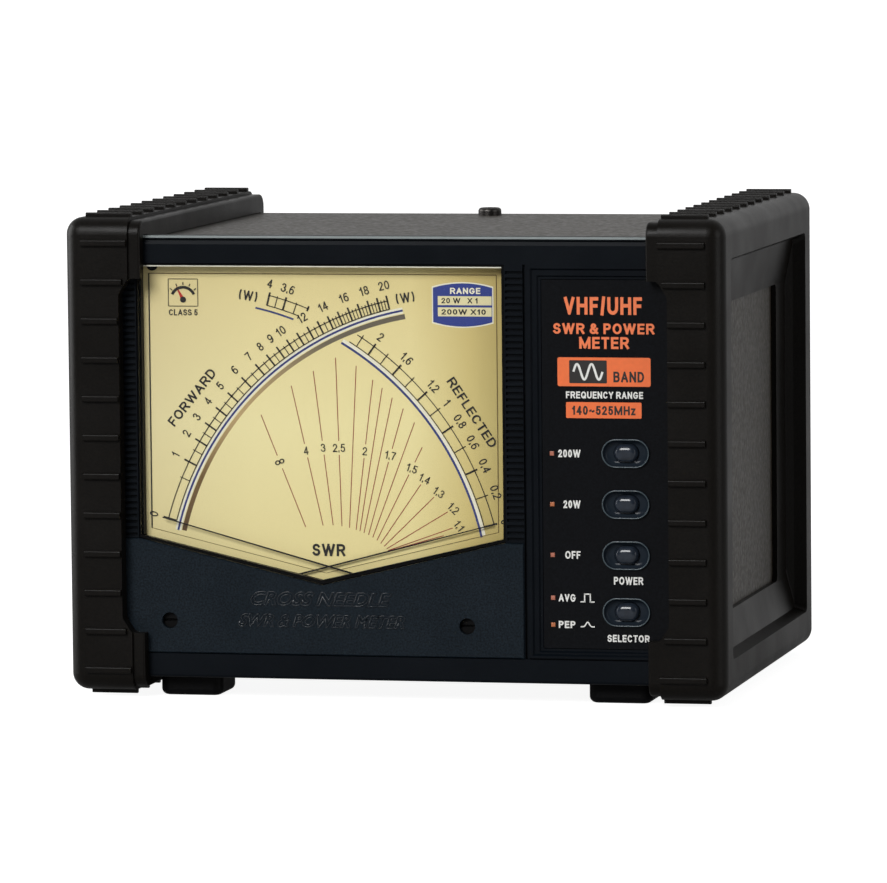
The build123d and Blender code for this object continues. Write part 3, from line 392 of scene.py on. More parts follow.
# Each sign: its width for a height of one, then its pen strokes in a unit box
SIGNS = {
    "0": (0.56, [ROUND]),
    "1": (0.36, [[(0, 0.74), (0.55, 0.84), (0.85, 1)], [(0.85, 1), (0.85, 0)]]),
    "2": (0.56, [bow(0.5, 0.73, 0.47, 0.27, 170, -28) + [(0, 0), (1, 0)]]),
    "3": (0.56, [bow(0.48, 0.765, 0.44, 0.235, 165, -75) + bow(0.48, 0.265, 0.52, 0.265, 72, -168)]),
    "4": (0.58, [[(0.74, 0), (0.74, 1), (0, 0.27), (1, 0.27)]]),
    "5": (0.56, [[(0.92, 1), (0.2, 1), (0.08, 0.5)] + bow(0.5, 0.32, 0.5, 0.32, 130, -158)]),
    "6": (0.56, SIX),
    "7": (0.54, [[(0, 1), (1, 1), (0.58, 0.5), (0.36, 0)]]),
    "8": (0.56, [bow(0.5, 0.76, 0.43, 0.24, 90, 450, 18), bow(0.5, 0.265, 0.5, 0.265, 90, 450, 18)]),
    "9": (0.56, [[(1 - x, 1 - y) for x, y in stroke] for stroke in SIX]),
    "A": (0.74, [[(0, 0), (0.5, 1), (1, 0)], [(0.17, 0.31), (0.83, 0.31)]]),
    "B": (0.66, [[(0.6, 0.53)] + bow(0.6, 0.265, 0.4, 0.265, 90, -90) + [(0, 0), (0, 1), (0.58, 1)]
                 + bow(0.58, 0.765, 0.36, 0.235, 90, -90) + [(0, 0.53)]]),
    "C": (0.72, [bow(0.5, 0.5, 0.5, 0.5, 42, 318, 18)]),
    "D": (0.70, [[(0.42, 1)] + bow(0.42, 0.5, 0.58, 0.5, 90, -90, 14) + [(0, 0), (0, 1), (0.42, 1)]]),
    "E": (0.60, [[(1, 0), (0, 0), (0, 1), (1, 1)], [(0, 0.52), (0.92, 0.52)]]),
    "F": (0.56, [[(0, 0), (0, 1), (1, 1)], [(0, 0.5), (0.86, 0.5)]]),
    "G": (0.76, [bow(0.5, 0.5, 0.5, 0.5, 44, 322, 18) + [(1, 0.46), (0.62, 0.46)]]),
    "H": (0.70, [[(0, 0), (0, 1)], [(1, 0), (1, 1)], [(0, 0.52), (1, 0.52)]]),
    "L": (0.56, [[(0, 1), (0, 0), (1, 0)]]),
    "M": (0.90, [[(0, 0), (0, 1)], [(0, 1), (0.5, 0.05)], [(0.5, 0.05), (1, 1)], [(1, 1), (1, 0)]]),
    "N": (0.70, [[(0, 0), (0, 1)], [(0, 1), (1, 0)], [(1, 0), (1, 1)]]),
    "O": (0.78, [ROUND]),
    "P": (0.64, [BOWL]),
    "Q": (0.78, [ROUND, [(0.62, 0.26), (0.94, 0.02)]]),
    "R": (0.70, [BOWL, [(0.55, 0.48), (1, 0)]]),
    "S": (0.64, [bow(0.5, 0.755, 0.46, 0.245, 22, 252) + bow(0.5, 0.26, 0.5, 0.26, 70, -162)]),
    "T": (0.62, [[(0, 1), (1, 1)], [(0.5, 0), (0.5, 1)]]),
    "U": (0.70, [[(0, 1)] + bow(0.5, 0.34, 0.5, 0.34, 180, 360) + [(1, 1)]]),
    "V": (0.68, [[(0, 1), (0.5, 0), (1, 1)]]),
    "W": (1.06, [[(0, 1), (0.25, 0)], [(0.25, 0), (0.5, 1)], [(0.5, 1), (0.75, 0)],
                 [(0.75, 0), (1, 1)]]),
    "X": (0.68, [[(0, 0), (1, 1)], [(0, 1), (1, 0)]]),
    "Y": (0.68, [[(0, 1), (0.5, 0.44), (1, 1)], [(0.5, 0.5), (0.5, 0)]]),
    "z": (0.50, [[(0, 0.72), (1, 0.72), (0, 0), (1, 0)]]),
    "&": (0.74, [[(1, 0), (0.2, 0.68)] + bow(0.42, 0.81, 0.25, 0.19, 190, -20) + [(0.1, 0.42)]
                 + bow(0.4, 0.25, 0.4, 0.25, 160, 320) + [(0.95, 0.48)]]),
    ".": (0.14, [[(0.5, -0.06), (0.5, 0.1)]]),
    "/": (0.30, [[(0, -0.05), (1, 1.05)]]),
    "~": (0.62, [[(i / 12, 0.42 + 0.1 * math.sin(i / 12 * 2 * math.pi)) for i in range(13)]]),
    "+": (0.56, [[(0, 0.42), (1, 0.42)], [(0.5, 0.08), (0.5, 0.76)]]),
    "(": (0.34, [bow(1.0, 0.5, 1.0, 0.66, 128, 232)]),
    ")": (0.34, [bow(0.0, 0.5, 1.0, 0.66, 52, -52)]),
    "8 on its side": (1.0, [bow(0.24, 0.5, 0.24, 0.3, 0, 360, 16),
                            bow(0.76, 0.5, 0.24, 0.3, 180, 540, 16)]),
}
SIGN_GAP = 0.14     # gap between signs and width of a space, for a height of one
SPACE = 0.30
GLYPHS = {}         # signs already worked out, by sign and pen weight


def pen_stroke(path, weight):
    """Overlapping polygons of a pen stroke: a bar for each run, square ends and mitred corners."""
    path = [Vector(point) for point in path]
    path = [point for i, point in enumerate(path) if not i or (point - path[i - 1]).length > 1e-6]
    closed = (path[0] - path[-1]).length < 1e-6
    half = weight / 2
    runs = [(b - a).normalized() for a, b in zip(path, path[1:])]
    shapes = []
    for i, (a, b, run) in enumerate(zip(path, path[1:], runs)):
        side = Vector((-run.y, run.x)) * half
        a = a - run * half if i == 0 and not closed else a
        b = b + run * half if i == len(runs) - 1 and not closed else b
        shapes.append([a + side, a - side, b - side, b + side])
    corners = [(path[i + 1], runs[i], runs[i + 1]) for i in range(len(runs) - 1)]
    if closed:
        corners.append((path[0], runs[-1], runs[0]))
    for point, first, second in corners:
        turn = first.x * second.y - first.y * second.x
        if abs(turn) < 0.01:
            continue
        outward = -half if turn > 0 else half
        start = Vector((-first.y, first.x)) * outward
        finish = Vector((-second.y, second.x)) * outward
        if first.dot(second) > -0.2:
            tips = [point + (start + finish) / (1 + first.dot(second))]
        else:
            tips = [point + start + first * half * 0.8, point + finish - second * half * 0.8]
        shape = [point, point + start] + tips + [point + finish]
        shapes.append(shape if turn > 0 else shape[::-1])
    return shapes


def letter(sign, weight):
    """Points and faces of one sign as a single flat shape with no overlaps, and its width."""
    if (sign, weight) not in GLYPHS:
        wide, strokes = SIGNS[sign]
        points, faces = [], []
        for stroke in strokes:
            run = max(wide - weight, 0)
            inner = [(weight / 2 + u * run, weight / 2 + v * (1 - weight)) for u, v in stroke]
            for shape in pen_stroke(inner, weight):
                faces.append(list(range(len(points), len(points) + len(shape))))
                points += shape
        merged = delaunay_2d_cdt(points, [], faces, 1, 1e-5)
        kept = [face for face, sources in zip(merged[2], merged[5]) if sources]
        GLYPHS[(sign, weight)] = ([tuple(point) for point in merged[0]], kept, wide)
    return GLYPHS[(sign, weight)]


def glyph(text, weight):
    """Faces of a written text, scaled so its box is one unit each way, and its width to height ratio."""
    points, faces, x = [], [], 0.0
    for sign in [text] if text in SIGNS else text:
        if sign == " ":
            x += SPACE
            continue
        outline, shapes, wide = letter(sign, weight)
        faces += [tuple(len(points) + i for i in shape) for shape in shapes]
        points += [(x + u, v) for u, v in outline]
        x += wide + SIGN_GAP
    total = x - SIGN_GAP
    return [(u / total - 0.5, v - 0.5) for u, v in points], faces, total


class Print:
    """Flat shapes of one ink, collected into one mesh."""

    def __init__(self):
        self.points = []
        self.faces = []

    def add(self, points, faces=None):
        start = len(self.points)
        self.points += points
        for face in faces or [tuple(range(len(points)))]:
            self.faces.append(tuple(start + i for i in face))

    def strip(self, left, right):
        """Band between two rows of points."""
        count = len(left)
        faces = [(i, i + 1, count + i + 1, count + i) for i in range(count - 1)]
        self.add(left + right, faces)

    def line(self, start, end, width):
        self.ribbon([start, end], width)

    def ribbon(self, path, width):
        left, right = [], []
        for i, (x, z) in enumerate(path):
            ax, az = path[max(i - 1, 0)]
            bx, bz = path[min(i + 1, len(path) - 1)]
            length = math.hypot(bx - ax, bz - az)
            nx, nz = -(bz - az) / length * width / 2, (bx - ax) / length * width / 2
            left.append((x + nx, z + nz))
            right.append((x - nx, z - nz))
        self.strip(left, right)

    def arc(self, polar, r0, r1, start, end, steps):
        """Band between two radii, the first maybe a function of 0-1; polar(radius, degrees) is a point."""
        inner, outer = [], []
        for i in range(steps + 1):
            share = i / steps
            angle = start + (end - start) * share
            inner.append(polar(r0(share) if callable(r0) else r0, angle))
            outer.append(polar(r1, angle))
        self.strip(inner, outer)

    def text(self, text, x, z, height, turn=0.0, weight=0.13, width=None):
        """Text centred on a point, of a given height, turned anticlockwise by degrees."""
        unit, faces, ratio = glyph(text, weight)
        wide = width or height * ratio
        c, s = math.cos(math.radians(turn)), math.sin(math.radians(turn))
        points = [(x + u * wide * c - v * height * s, z + u * wide * s + v * height * c) for u, v in unit]
        self.add(points, faces)

    def fitted(self, text, x0, x1, z0, z1, weight=0.2):
        """Text stretched to fill a box."""
        self.text(text, (x0 + x1) / 2, (z0 + z1) / 2, z1 - z0, weight=weight, width=x1 - x0)

    def box(self, x0, x1, z0, z1, radius=0.0):
        self.add(rounded_box(x0, x1, z0, z1, radius))

    def build(self, name, y, material, slot):
        """Mesh facing the front at depth y, in metres."""
        mesh = bpy.data.meshes.new(name)
        mesh.from_pydata([(x * MM, y, z * MM) for x, z in self.points], [], self.faces)
        mesh.validate()
        mesh.update()
        mesh.materials.append(material)
        return add_piece(name, mesh)


def rounded_box(x0, x1, z0, z1, radius):
    """Outline of a box, with its corners rounded if it has a radius."""
    if radius <= 0:
        return [(x0, z0), (x1, z0), (x1, z1), (x0, z1)]
    points, steps = [], 5
    corners = ((x1 - radius, z0 + radius, -90), (x1 - radius, z1 - radius, 0),
               (x0 + radius, z1 - radius, 90), (x0 + radius, z0 + radius, 180))
    for cx, cz, start in corners:
        for i in range(steps + 1):
            angle = math.radians(start + 90 * i / steps)
            points.append((cx + radius * math.cos(angle), cz + radius * math.sin(angle)))
    return points


# Dial: radii in millimetres from a needle's pivot, angles in degrees up from the line of both pivots

FORWARD_PIVOT = [value / MM for value in JOINTS["forward_deflection"]["pos_m"]]
REFLECTED_PIVOT = [value / MM for value in JOINTS["reflected_deflection"]["pos_m"]]
DIAL_X = (FORWARD_PIVOT[0] + REFLECTED_PIVOT[0]) / 2
DIAL_Z = FORWARD_PIVOT[2]
FORWARD_ZERO = 15.4
REFLECTED_ZERO = 14.7
SPAN = 61.3              # turn of the forward needle from zero to 20 W
REFLECTED_SPAN = 60.85   # turn of the reflected needle from zero to 4 W
FORWARD_WATTS = (0, 1, 3, 5, 7, 10, 14, 20)
FORWARD_TURNS = (0.0, 11.3, 19.1, 26.1, 33.5, 40.9, 49.7, SPAN)    # at each of those powers
FORWARD_RULES = (74.2, 76.32)
REFLECTED_RULES = (75.4, 77.92)
RULE_WIDTH = 0.22
LONG_TICK = 0.42         # width of a long tick; a short one is as wide as a rule
NUMBER_HEIGHT = 2.15
FAN_X = DIAL_X + 1.5     # middle of the fan of SWR lines
INK_LAYER = 0.015 * MM


def forward_polar(radius, degrees):
    angle = math.radians(degrees)
    return (FORWARD_PIVOT[0] - radius * math.cos(angle), DIAL_Z + radius * math.sin(angle))


def reflected_polar(radius, degrees):
    angle = math.radians(degrees)
    return (REFLECTED_PIVOT[0] + radius * math.cos(angle), DIAL_Z + radius * math.sin(angle))


def forward_angle(watts):
    """Needle angle of a forward power on the 20 W scale: a smooth curve through the calibration."""
    roots = [math.sqrt(value) for value in FORWARD_WATTS]
    place = math.sqrt(watts)
    last = len(roots) - 1
    i = max(k for k in range(last) if place >= roots[k])
    slopes = []
    for k in (i, i + 1):
        before, after = max(k - 1, 0), min(k + 1, last)
        slopes.append((FORWARD_TURNS[after] - FORWARD_TURNS[before]) / (roots[after] - roots[before]))
    width = roots[i + 1] - roots[i]
    t = (place - roots[i]) / width
    turn = (FORWARD_TURNS[i] * (2 * t ** 3 - 3 * t ** 2 + 1)
            + FORWARD_TURNS[i + 1] * (3 * t ** 2 - 2 * t ** 3)
            + width * slopes[0] * (t ** 3 - 2 * t ** 2 + t) + width * slopes[1] * (t ** 3 - t ** 2))
    return FORWARD_ZERO + turn


def reflected_angle(watts):
    """Needle angle of a reflected power on the 4 W scale."""
    share = watts / 4
    return REFLECTED_ZERO + REFLECTED_SPAN * share * 2.2 / (share + 1.2)


def tick(sheet, polar, angle, r0, r1, width):
    sheet.line(polar(r0, angle), polar(r1, angle), width)


def rule(sheet, polar, radius, start, end, steps):
    """Thin line along an arc."""
    sheet.arc(polar, radius, radius + RULE_WIDTH, start, end, steps)


def forward_scale(black):
    for radius in FORWARD_RULES:
        rule(black, forward_polar, radius, FORWARD_ZERO, FORWARD_ZERO + SPAN, 90)
    for watts in range(21):
        tick(black, forward_polar, forward_angle(watts), 74.3, 77.75, LONG_TICK)
        steps = 2 if watts < 14 else 3
        if watts < 20:
            for i in range(1, steps):
                angle = forward_angle(watts + i / steps)
                tick(black, forward_polar, angle, 74.3, 76.9, RULE_WIDTH)
    for watts in list(range(11)) + list(range(12, 21, 2)):
        angle = forward_angle(watts)
        x, z = forward_polar(80.3, angle)
        black.text(str(watts), x, z, NUMBER_HEIGHT, 90 - angle)


def reflected_scale(black):
    """Scale up to 2.2 W, and a short piece of it again at its upper end."""
    polar = reflected_polar
    inner, outer = REFLECTED_RULES
    top = reflected_angle(2.2)
    rule(black, polar, inner, REFLECTED_ZERO, top + 1.6, 70)
    rule(black, polar, outer, REFLECTED_ZERO, top + 1.0, 70)
    for i in range(12):
        tick(black, polar, reflected_angle(i * 0.2), 75.5, 78.8, RULE_WIDTH if i % 2 else LONG_TICK)
    numbers = [(watts, reflected_angle(float(watts)))
               for watts in ("0", "0.2", "0.4", "0.6", "0.8", "1", "1.2", "1.6", "2")]
    rule(black, polar, inner, 69.2, 75.6, 12)
    rule(black, polar, outer, 67.8, 75.6, 12)
    for angle in (75.55, 72.4):
        tick(black, polar, angle, 75.5, 78.8, LONG_TICK)
    tick(black, polar, 68.0, 77.4, 78.7, LONG_TICK)
    for angle in (74.0, 70.3):
        tick(black, polar, angle, 75.5, 78.4, RULE_WIDTH)
    for watts, angle in numbers + [("4", 75.9), ("3.6", 72.6)]:
        x, z = polar(80.9, angle)
        black.text(watts, x, z, NUMBER_HEIGHT, angle - 90)


def crossing(forward_watts, swr):
    """Where the needles cross at a forward power and a standing wave ratio."""
    share = ((swr - 1) / (swr + 1)) ** 2
    first = math.tan(math.radians(forward_angle(forward_watts)))
    second = math.tan(math.radians(reflected_angle(forward_watts * share)))
    reach = FORWARD_PIVOT[0] - REFLECTED_PIVOT[0]
    x = reach * first / (first + second)
    return (REFLECTED_PIVOT[0] + x, DIAL_Z + x * second)


def swr_path(swr):
    """Visible run of a constant-SWR line, from its low end to its high end."""
    path = []
    for i in range(1, 400):
        watts = 20 * (i / 400) ** 1.5
        share = ((swr - 1) / (swr + 1)) ** 2
        if watts * share > 4:
            break
        x, z = crossing(watts, swr)
        from_forward = math.hypot(x - FORWARD_PIVOT[0], z - DIAL_Z)
        from_reflected = math.hypot(x - REFLECTED_PIVOT[0], z - DIAL_Z)
        from_middle = math.hypot(x - FAN_X, z - DIAL_Z)
        if from_forward < 68 and from_reflected < 71.5 and from_middle > 19:
            path.append((x, z))
    return path[:-1:4] + path[-1:]


# Each labelled ratio: its text, and the label's distance from the middle of the fan
SWR_LABELS = {8.6: ("8 on its side", 37.0), 4: ("4", 38.0), 3: ("3", 38.3), 2.5: ("2.5", 38.3),
              2: ("2", 38.5), 1.7: ("1.7", 39.5), 1.5: ("1.5", 39.0), 1.4: ("1.4", 38.6),
              1.3: ("1.3", 38.4), 1.2: ("1.2", 38.8), 1.1: ("1.1", 38.0)}
SWR_PLAIN = (2.2, 1.9, 1.8, 1.6, 1.05)
SWR_LINE = 0.2
SWR_HALF_GAP = 1.7


def swr_lines(red, black):
    """Fan of straight lines of equal standing wave ratio, each with its label in a gap."""
    for swr in list(SWR_LABELS) + list(SWR_PLAIN):
        path = swr_path(swr)
        low, high = Vector(path[0]), Vector(path[-1])
        low.x -= 2.6 * (max(swr - 1.7, 0) / 6.9) ** 0.75    # opens the foot of the fan to the left
        if swr not in SWR_LABELS:
            red.line(low, high, SWR_LINE)
            continue
        text, distance = SWR_LABELS[swr]
        run = (high - low).normalized()
        middle = low + run * (distance - math.hypot(low.x - FAN_X, low.y - DIAL_Z))
        lean = math.degrees(math.atan2(run.y, run.x)) - 90
        if swr > 5:
            black.text(text, middle.x, middle.y, 1.8, lean, 0.13, width=2.5)
        else:
            black.text(text, middle.x, middle.y, 2.0, lean * 0.75, 0.12)
        red.line(low, middle - run * SWR_HALF_GAP, SWR_LINE)
        if (high - middle).dot(run) > 2.0:
            red.line(middle + run * SWR_HALF_GAP, high, SWR_LINE)


def range_badge(blue, pale, cream, black, title):
    """Plate with arched long sides that names both ranges and their factors."""
    x0, x1, z0, z1 = DIAL_X + 27.3, DIAL_X + 42.1, DIAL_Z + 69.3, DIAL_Z + 77.7
    crown, steps = 1.1, 10

    def outline(grow):
        upper, lower = [], []
        for i in range(steps + 1):
            share = i / steps
            along = (x1 - x0 + 2 * grow) * share
            lift = crown * (1 - (2 * share - 1) ** 2)
            upper.append((x1 + grow - along, z1 + grow + lift))
            lower.append((x0 - grow + along, z0 - grow - lift))
        return upper + lower

    pale.add(outline(0.3))
    blue.add(outline(0.0))
    cream.box(x0 + 1.2, x1 - 0.15, DIAL_Z + 73.45, DIAL_Z + 75.65)
    cream.box(x0 + 1.2, x1 - 0.15, DIAL_Z + 70.7, DIAL_Z + 72.9)
    title.fitted("RANGE", x0 + 4.3, x0 + 11.9, DIAL_Z + 76.2, DIAL_Z + 77.7)
    black.fitted("20 W   X 1", x0 + 2.1, x0 + 11.2, DIAL_Z + 73.9, DIAL_Z + 75.2, 0.17)
    black.fitted("200W X10", x0 + 2.1, x0 + 13.2, DIAL_Z + 71.15, DIAL_Z + 72.45, 0.17)


def gauge_icon(black, red):
    """Small generic movement mark: a framed arc with a pointer."""
    x0, x1, z0, z1 = DIAL_X - 39.6, DIAL_X - 32.1, DIAL_Z + 72.8, DIAL_Z + 79.5
    corners = [(x0, z0), (x1, z0), (x1, z1), (x0, z1)]
    for a, b in zip(corners, corners[1:] + corners[:1]):
        black.line(a, b, 0.16)
    cx, cz = (x0 + x1) / 2, z0 + 1.6

    def polar(radius, degrees):
        angle = math.radians(degrees)
        return (cx + radius * math.cos(angle), cz + radius * math.sin(angle))

    black.arc(polar, 2.7, 3.4, 25, 155, 24)
    black.arc(polar, 0.0, 0.75, 0, 360, 24)
    for degrees in (40, 65, 90, 115, 140):
        black.line(polar(3.6, degrees), polar(4.3, degrees), 0.25)
    red.add([polar(0.5, 30), polar(3.9, 118), polar(0.5, 206)])
    black.fitted("CLASS 5", x0 + 0.1, x1 - 0.1, z0 - 2.3, z0 - 0.8, 0.17)


def dial_border(brown, black):
    """Line around the dial with a V below: thick and black on the left, thin and brown on the top and the
    right.
    """
    low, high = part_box("window_pane")
    left, right = low.x / MM + 1.9, high.x / MM - 2.0
    top = high.z / MM - 2.25
    shoulder = 41.9
    vertex = (DIAL_X - 0.3, 31.3)
    black.line((left, top), (left, shoulder), 0.32)
    brown.line((left, top), (right, top), 0.2)
    brown.line((right, top), (right, shoulder), 0.22)
    brown.line((left, shoulder), vertex, 0.12)
    brown.line(vertex, (right, shoulder), 0.12)


def shade_band_material():
    """Mirror band under the forward arc, its reflection painted: grey at its top end, tan in the middle,
    brown at its foot.
    """
    item = Builder("painted_mirror_band", 0.4)
    height = item.between(item.axes()[1], 40 * MM, 100 * MM)
    item.base(item.ramp(height, [(0.0, srgb(92, 68, 40)), (0.25, srgb(118, 92, 52)),
                                 (0.5, srgb(196, 168, 116)), (0.66, srgb(168, 146, 104)),
                                 (0.8, srgb(112, 104, 84)), (1.0, srgb(96, 88, 78))]))
    return item.material


def dial():
    """All the dial's printing, one sheet for each ink, from the card outwards."""
    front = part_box("scale_plate")[0].y
    order = ("pale", "red", "blue", "badge", "cream", "brown", "signal", "black")
    sheets = {name: Print() for name in order}
    black, blue, pale = sheets["black"], sheets["blue"], sheets["pale"]
    title, band = Print(), Print()
    forward_scale(black)
    reflected_scale(black)
    pale.arc(forward_polar, 72.65, 74.1, 13.7, 79.2, 90)
    blue.arc(forward_polar, 73.1, 73.6, 13.7, 79.2, 90)
    pale.arc(reflected_polar, 74.4, 75.3, 13.2, 59.6, 70)
    blue.arc(reflected_polar, 73.95, 74.5, 12.9, 59.6, 70)
    blue.arc(reflected_polar, 74.0, 74.45, 69.9, 77.6, 14)
    swr_lines(sheets["red"], black)
    black.text("SWR", DIAL_X + 0.4, DIAL_Z + 12.95, 3.0, weight=0.19, width=8.3)
    black.text("(W)", DIAL_X + 20.3, DIAL_Z + 75.2, 2.4, 9, 0.16, width=4.6)
    black.text("(W)", DIAL_X - 19.3, DIAL_Z + 75.5, 2.4, -9, 0.16, width=4.6)
    black.text("FORWARD", DIAL_X - 33.9, DIAL_Z + 50.3, 2.4, 50.6, 0.16, width=17.2)
    black.text("REFLECTED", DIAL_X + 36.8, DIAL_Z + 47.2, 2.3, -56.6, 0.16, width=19.6)
    gauge_icon(black, sheets["signal"])
    range_badge(sheets["badge"], pale, sheets["cream"], black, title)
    dial_border(sheets["brown"], black)
    # Mirror band whose reflection is painted into its colour.
    band.arc(forward_polar, lambda t: 71.55 - 0.35 * abs(2 * t - 0.9), 72.45, 13.9, 79.4, 90)
    band.build("scale_painted_mirror_band", front - INK_LAYER, shade_band_material(), "scale_card")
    for layer, name in enumerate(order, 2):
        sheets[name].build("scale_ink_" + name, front - INK_LAYER * layer, INKS[name], "scale_card")
    title.build("scale_range_title", front - INK_LAYER * 12, INKS["pale"], "scale_card")


# Control panel

def node_centre(name):
    low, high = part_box(name)
    middle = (low + high) / 2
    return middle.x / MM, middle.z / MM


def pulse_mark(sheet, x0, x1, low, high, square):
    """Small waveform: a square pulse or a rounded one."""
    width = 0.3
    if square:
        a, b = x0 + (x1 - x0) * 0.3, x0 + (x1 - x0) * 0.7
        sheet.line((x0, low), (a, low), width)
        sheet.line((a, low - width / 2), (a, high + width / 2), width)
        sheet.line((a, high), (b, high), width)
        sheet.line((b, high + width / 2), (b, low - width / 2), width)
        sheet.line((b, low), (x1, low), width)
    else:
        path = []
        for i in range(25):
            share = i / 24
            lift = math.exp(-((share - 0.5) / 0.16) ** 2)
            path.append((x0 + (x1 - x0) * share, low + (high - low) * lift))
        sheet.ribbon(path, width)


def control_panel():
    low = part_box("control_panel")[0]
    face = low.y + DISH_RAISE * MM - INK_LAYER
    left = low.x / MM - 0.15
    white, orange, badge, dark, wave = Print(), Print(), Print(), Print(), Print()
    rows = {name: node_centre(name)[1] for name in LED_NODES}
    power_z = rows["led_200w"]
    for name, text, x0, x1, below, above in (
            ("led_200w", "200W", 4.05, 9.6, 0.9, 1.0), ("led_20w", "20W", 5.25, 9.5, 0.9, 1.0),
            ("led_off", "OFF", 5.6, 9.4, 0.9, 1.0), ("led_average", "AVG", 3.9, 8.1, 0.9, 0.95),
            ("led_peak", "PEP", 3.85, 8.0, 0.8, 0.95)):
        white.fitted(text, left + x0, left + x1, rows[name] - below, rows[name] + above)
    for name, below, above, square in (("led_average", 0.9, 1.0, True), ("led_peak", 0.4, 0.75, False)):
        pulse_mark(white, left + 9.3, left + 12.8, rows[name] - below, rows[name] + above, square)
    off_x, off_z = node_centre("power_off_button")
    pick_x, pick_z = node_centre("selector_button")
    white.fitted("POWER", off_x - 3.15, off_x + 4.1, off_z - 7.15, off_z - 5.25)
    white.fitted("SELECTOR", pick_x - 4.85, pick_x + 5.6, pick_z - 7.3, pick_z - 5.55)
    orange.fitted("VHF/UHF", 42.2, 61.5, power_z + 33.9, power_z + 38.2)
    orange.fitted("SWR & POWER", 39.45, 64.5, power_z + 29.2, power_z + 31.8)
    orange.fitted("METER", 45.9, 58.2, power_z + 25.6, power_z + 28.5)
    white.fitted("FREQUENCY RANGE", 42.5, 61.6, power_z + 13.5, power_z + 15.2)
    badge.box(40.45, 63.5, power_z + 16.45, power_z + 23.5, 0.5)
    badge.box(42.5, 61.2, power_z + 8.7, power_z + 12.6, 0.3)
    dark.box(43.35, 52.7, power_z + 17.2, power_z + 22.8, 0.25)
    dark.fitted("BAND", 54.3, 61.9, power_z + 17.5, power_z + 20.1)
    dark.fitted("140~525MHz", 44.0, 59.7, power_z + 9.5, power_z + 11.7)
    steps = 40
    wave.ribbon([(44.4 + 7.2 * i / steps, power_z + 20.0 + 1.9 * math.sin(i / steps * 4 * math.pi))
                 for i in range(steps + 1)], 0.55)
    white.build("panel_white_print", face, INKS["white"], "panel_plastic")
    orange.build("panel_orange_print", face, INKS["orange"], "panel_plastic")
    badge.build("panel_badges", face, INKS["badge_orange"], "panel_plastic")
    dark.build("panel_dark_print", face - INK_LAYER, INKS["dark"], "panel_plastic")
    wave.build("panel_wave_mark", face - 2 * INK_LAYER, INKS["white"], "panel_plastic")


# Lower bezel lettering, raised in outline

def raised_outline(name, text, middle, half, z0, z1, y, material):
    """Sloping text whose contours stand up as thin rounded ridges, in a box given in millimetres."""
    ridge = 0.17
    curve = bpy.data.curves.new(name, "FONT")
    curve.body = text
    curve.shear = 0.35
    curve.offset = 0.03
    curve.resolution_u = 3
    holder = bpy.data.objects.new(name, curve)
    bpy.context.scene.collection.objects.link(holder)
    bpy.context.view_layer.update()
    corners = [Vector(corner) for corner in holder.bound_box]
    left, right = min(c.x for c in corners), max(c.x for c in corners)
    low, high = min(c.y for c in corners), max(c.y for c in corners)
    sx = 2 * half / (right - left)
    sz = (z1 - z0) / (high - low)
    curve.fill_mode = "NONE"
    curve.bevel_depth = ridge / sz
    curve.bevel_resolution = 1
    graph = bpy.context.evaluated_depsgraph_get()
    mesh = bpy.data.meshes.new_from_object(holder.evaluated_get(graph))
    bpy.data.objects.remove(holder)
    mesh.transform(Matrix(((sx * MM, 0, 0, (middle - half - left * sx) * MM), (0, 0, -sz * MM, y),
                           (0, sz * MM, 0, (z0 - low * sz) * MM), (0, 0, 0, 1))))
    mesh.materials.append(material)
    add_piece(name, mesh)


def bezel_lettering():
    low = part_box("lower_bezel")[0]
    base = low.z / MM
    middle = DIAL_X - 0.7
    material = plastic_material("bezel_lettering", srgb(20, 27, 34), (0.24, 0.32), 0.8, 0.003, 0.36)
    raised_outline("bezel_upper_lettering", "CROSS NEEDLE", middle, 17.8, base + 12.2, base + 15.6,
                   low.y, material)
    raised_outline("bezel_lower_lettering", "SWR & POWER METER", middle, 21.0, base + 6.9, base + 10.0,
                   low.y, material)


# Painted highlights: pale strips along the cover's front edge over the frame's lip, and along the pane's
# top edge

def edge_strip(name, low, high, colour, rough):
    """Thin pale box between two corners, in metres: a painted highlight."""
    (x0, y0, z0), (x1, y1, z1) = low, high
    points = [(x, y, z) for x in (x0, x1) for y in (y0, y1) for z in (z0, z1)]
    faces = [(0, 1, 3, 2), (4, 6, 7, 5), (0, 4, 5, 1), (2, 3, 7, 6), (0, 2, 6, 4), (1, 5, 7, 3)]
    mesh = bpy.data.meshes.new(name)
    mesh.from_pydata(points, [], faces)
    mesh.update()
    item = Builder(name + "_pale_highlight", rough)
    # Pale colour: a painted highlight.
    item.base(item.ramp(item.noise(1.5), spread(colour, 0.9)))
    mesh.materials.append(item.material)
    add_piece(name, mesh)


def bright_edges():
    frame_low, frame_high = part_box("front_frame")
    cover_low, cover_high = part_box("top_cover")
    lip = frame_low.y + 0.7 * MM
    edge_strip("cover_front_highlight", (cover_low.x, lip - 0.05 * MM, frame_high.z - 0.62 * MM),
               (cover_high.x, lip + 0.2 * MM, frame_high.z - 0.05 * MM),
               srgb(140, 148, 148), 0.3)
    pane_low, pane_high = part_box("window_pane")
    edge_strip("window_top_highlight", (pane_low.x, pane_low.y - 0.05 * MM, pane_high.z - 0.32 * MM),
               (pane_high.x, pane_low.y + 0.1 * MM, pane_high.z),
               srgb(226, 224, 206), 0.2)


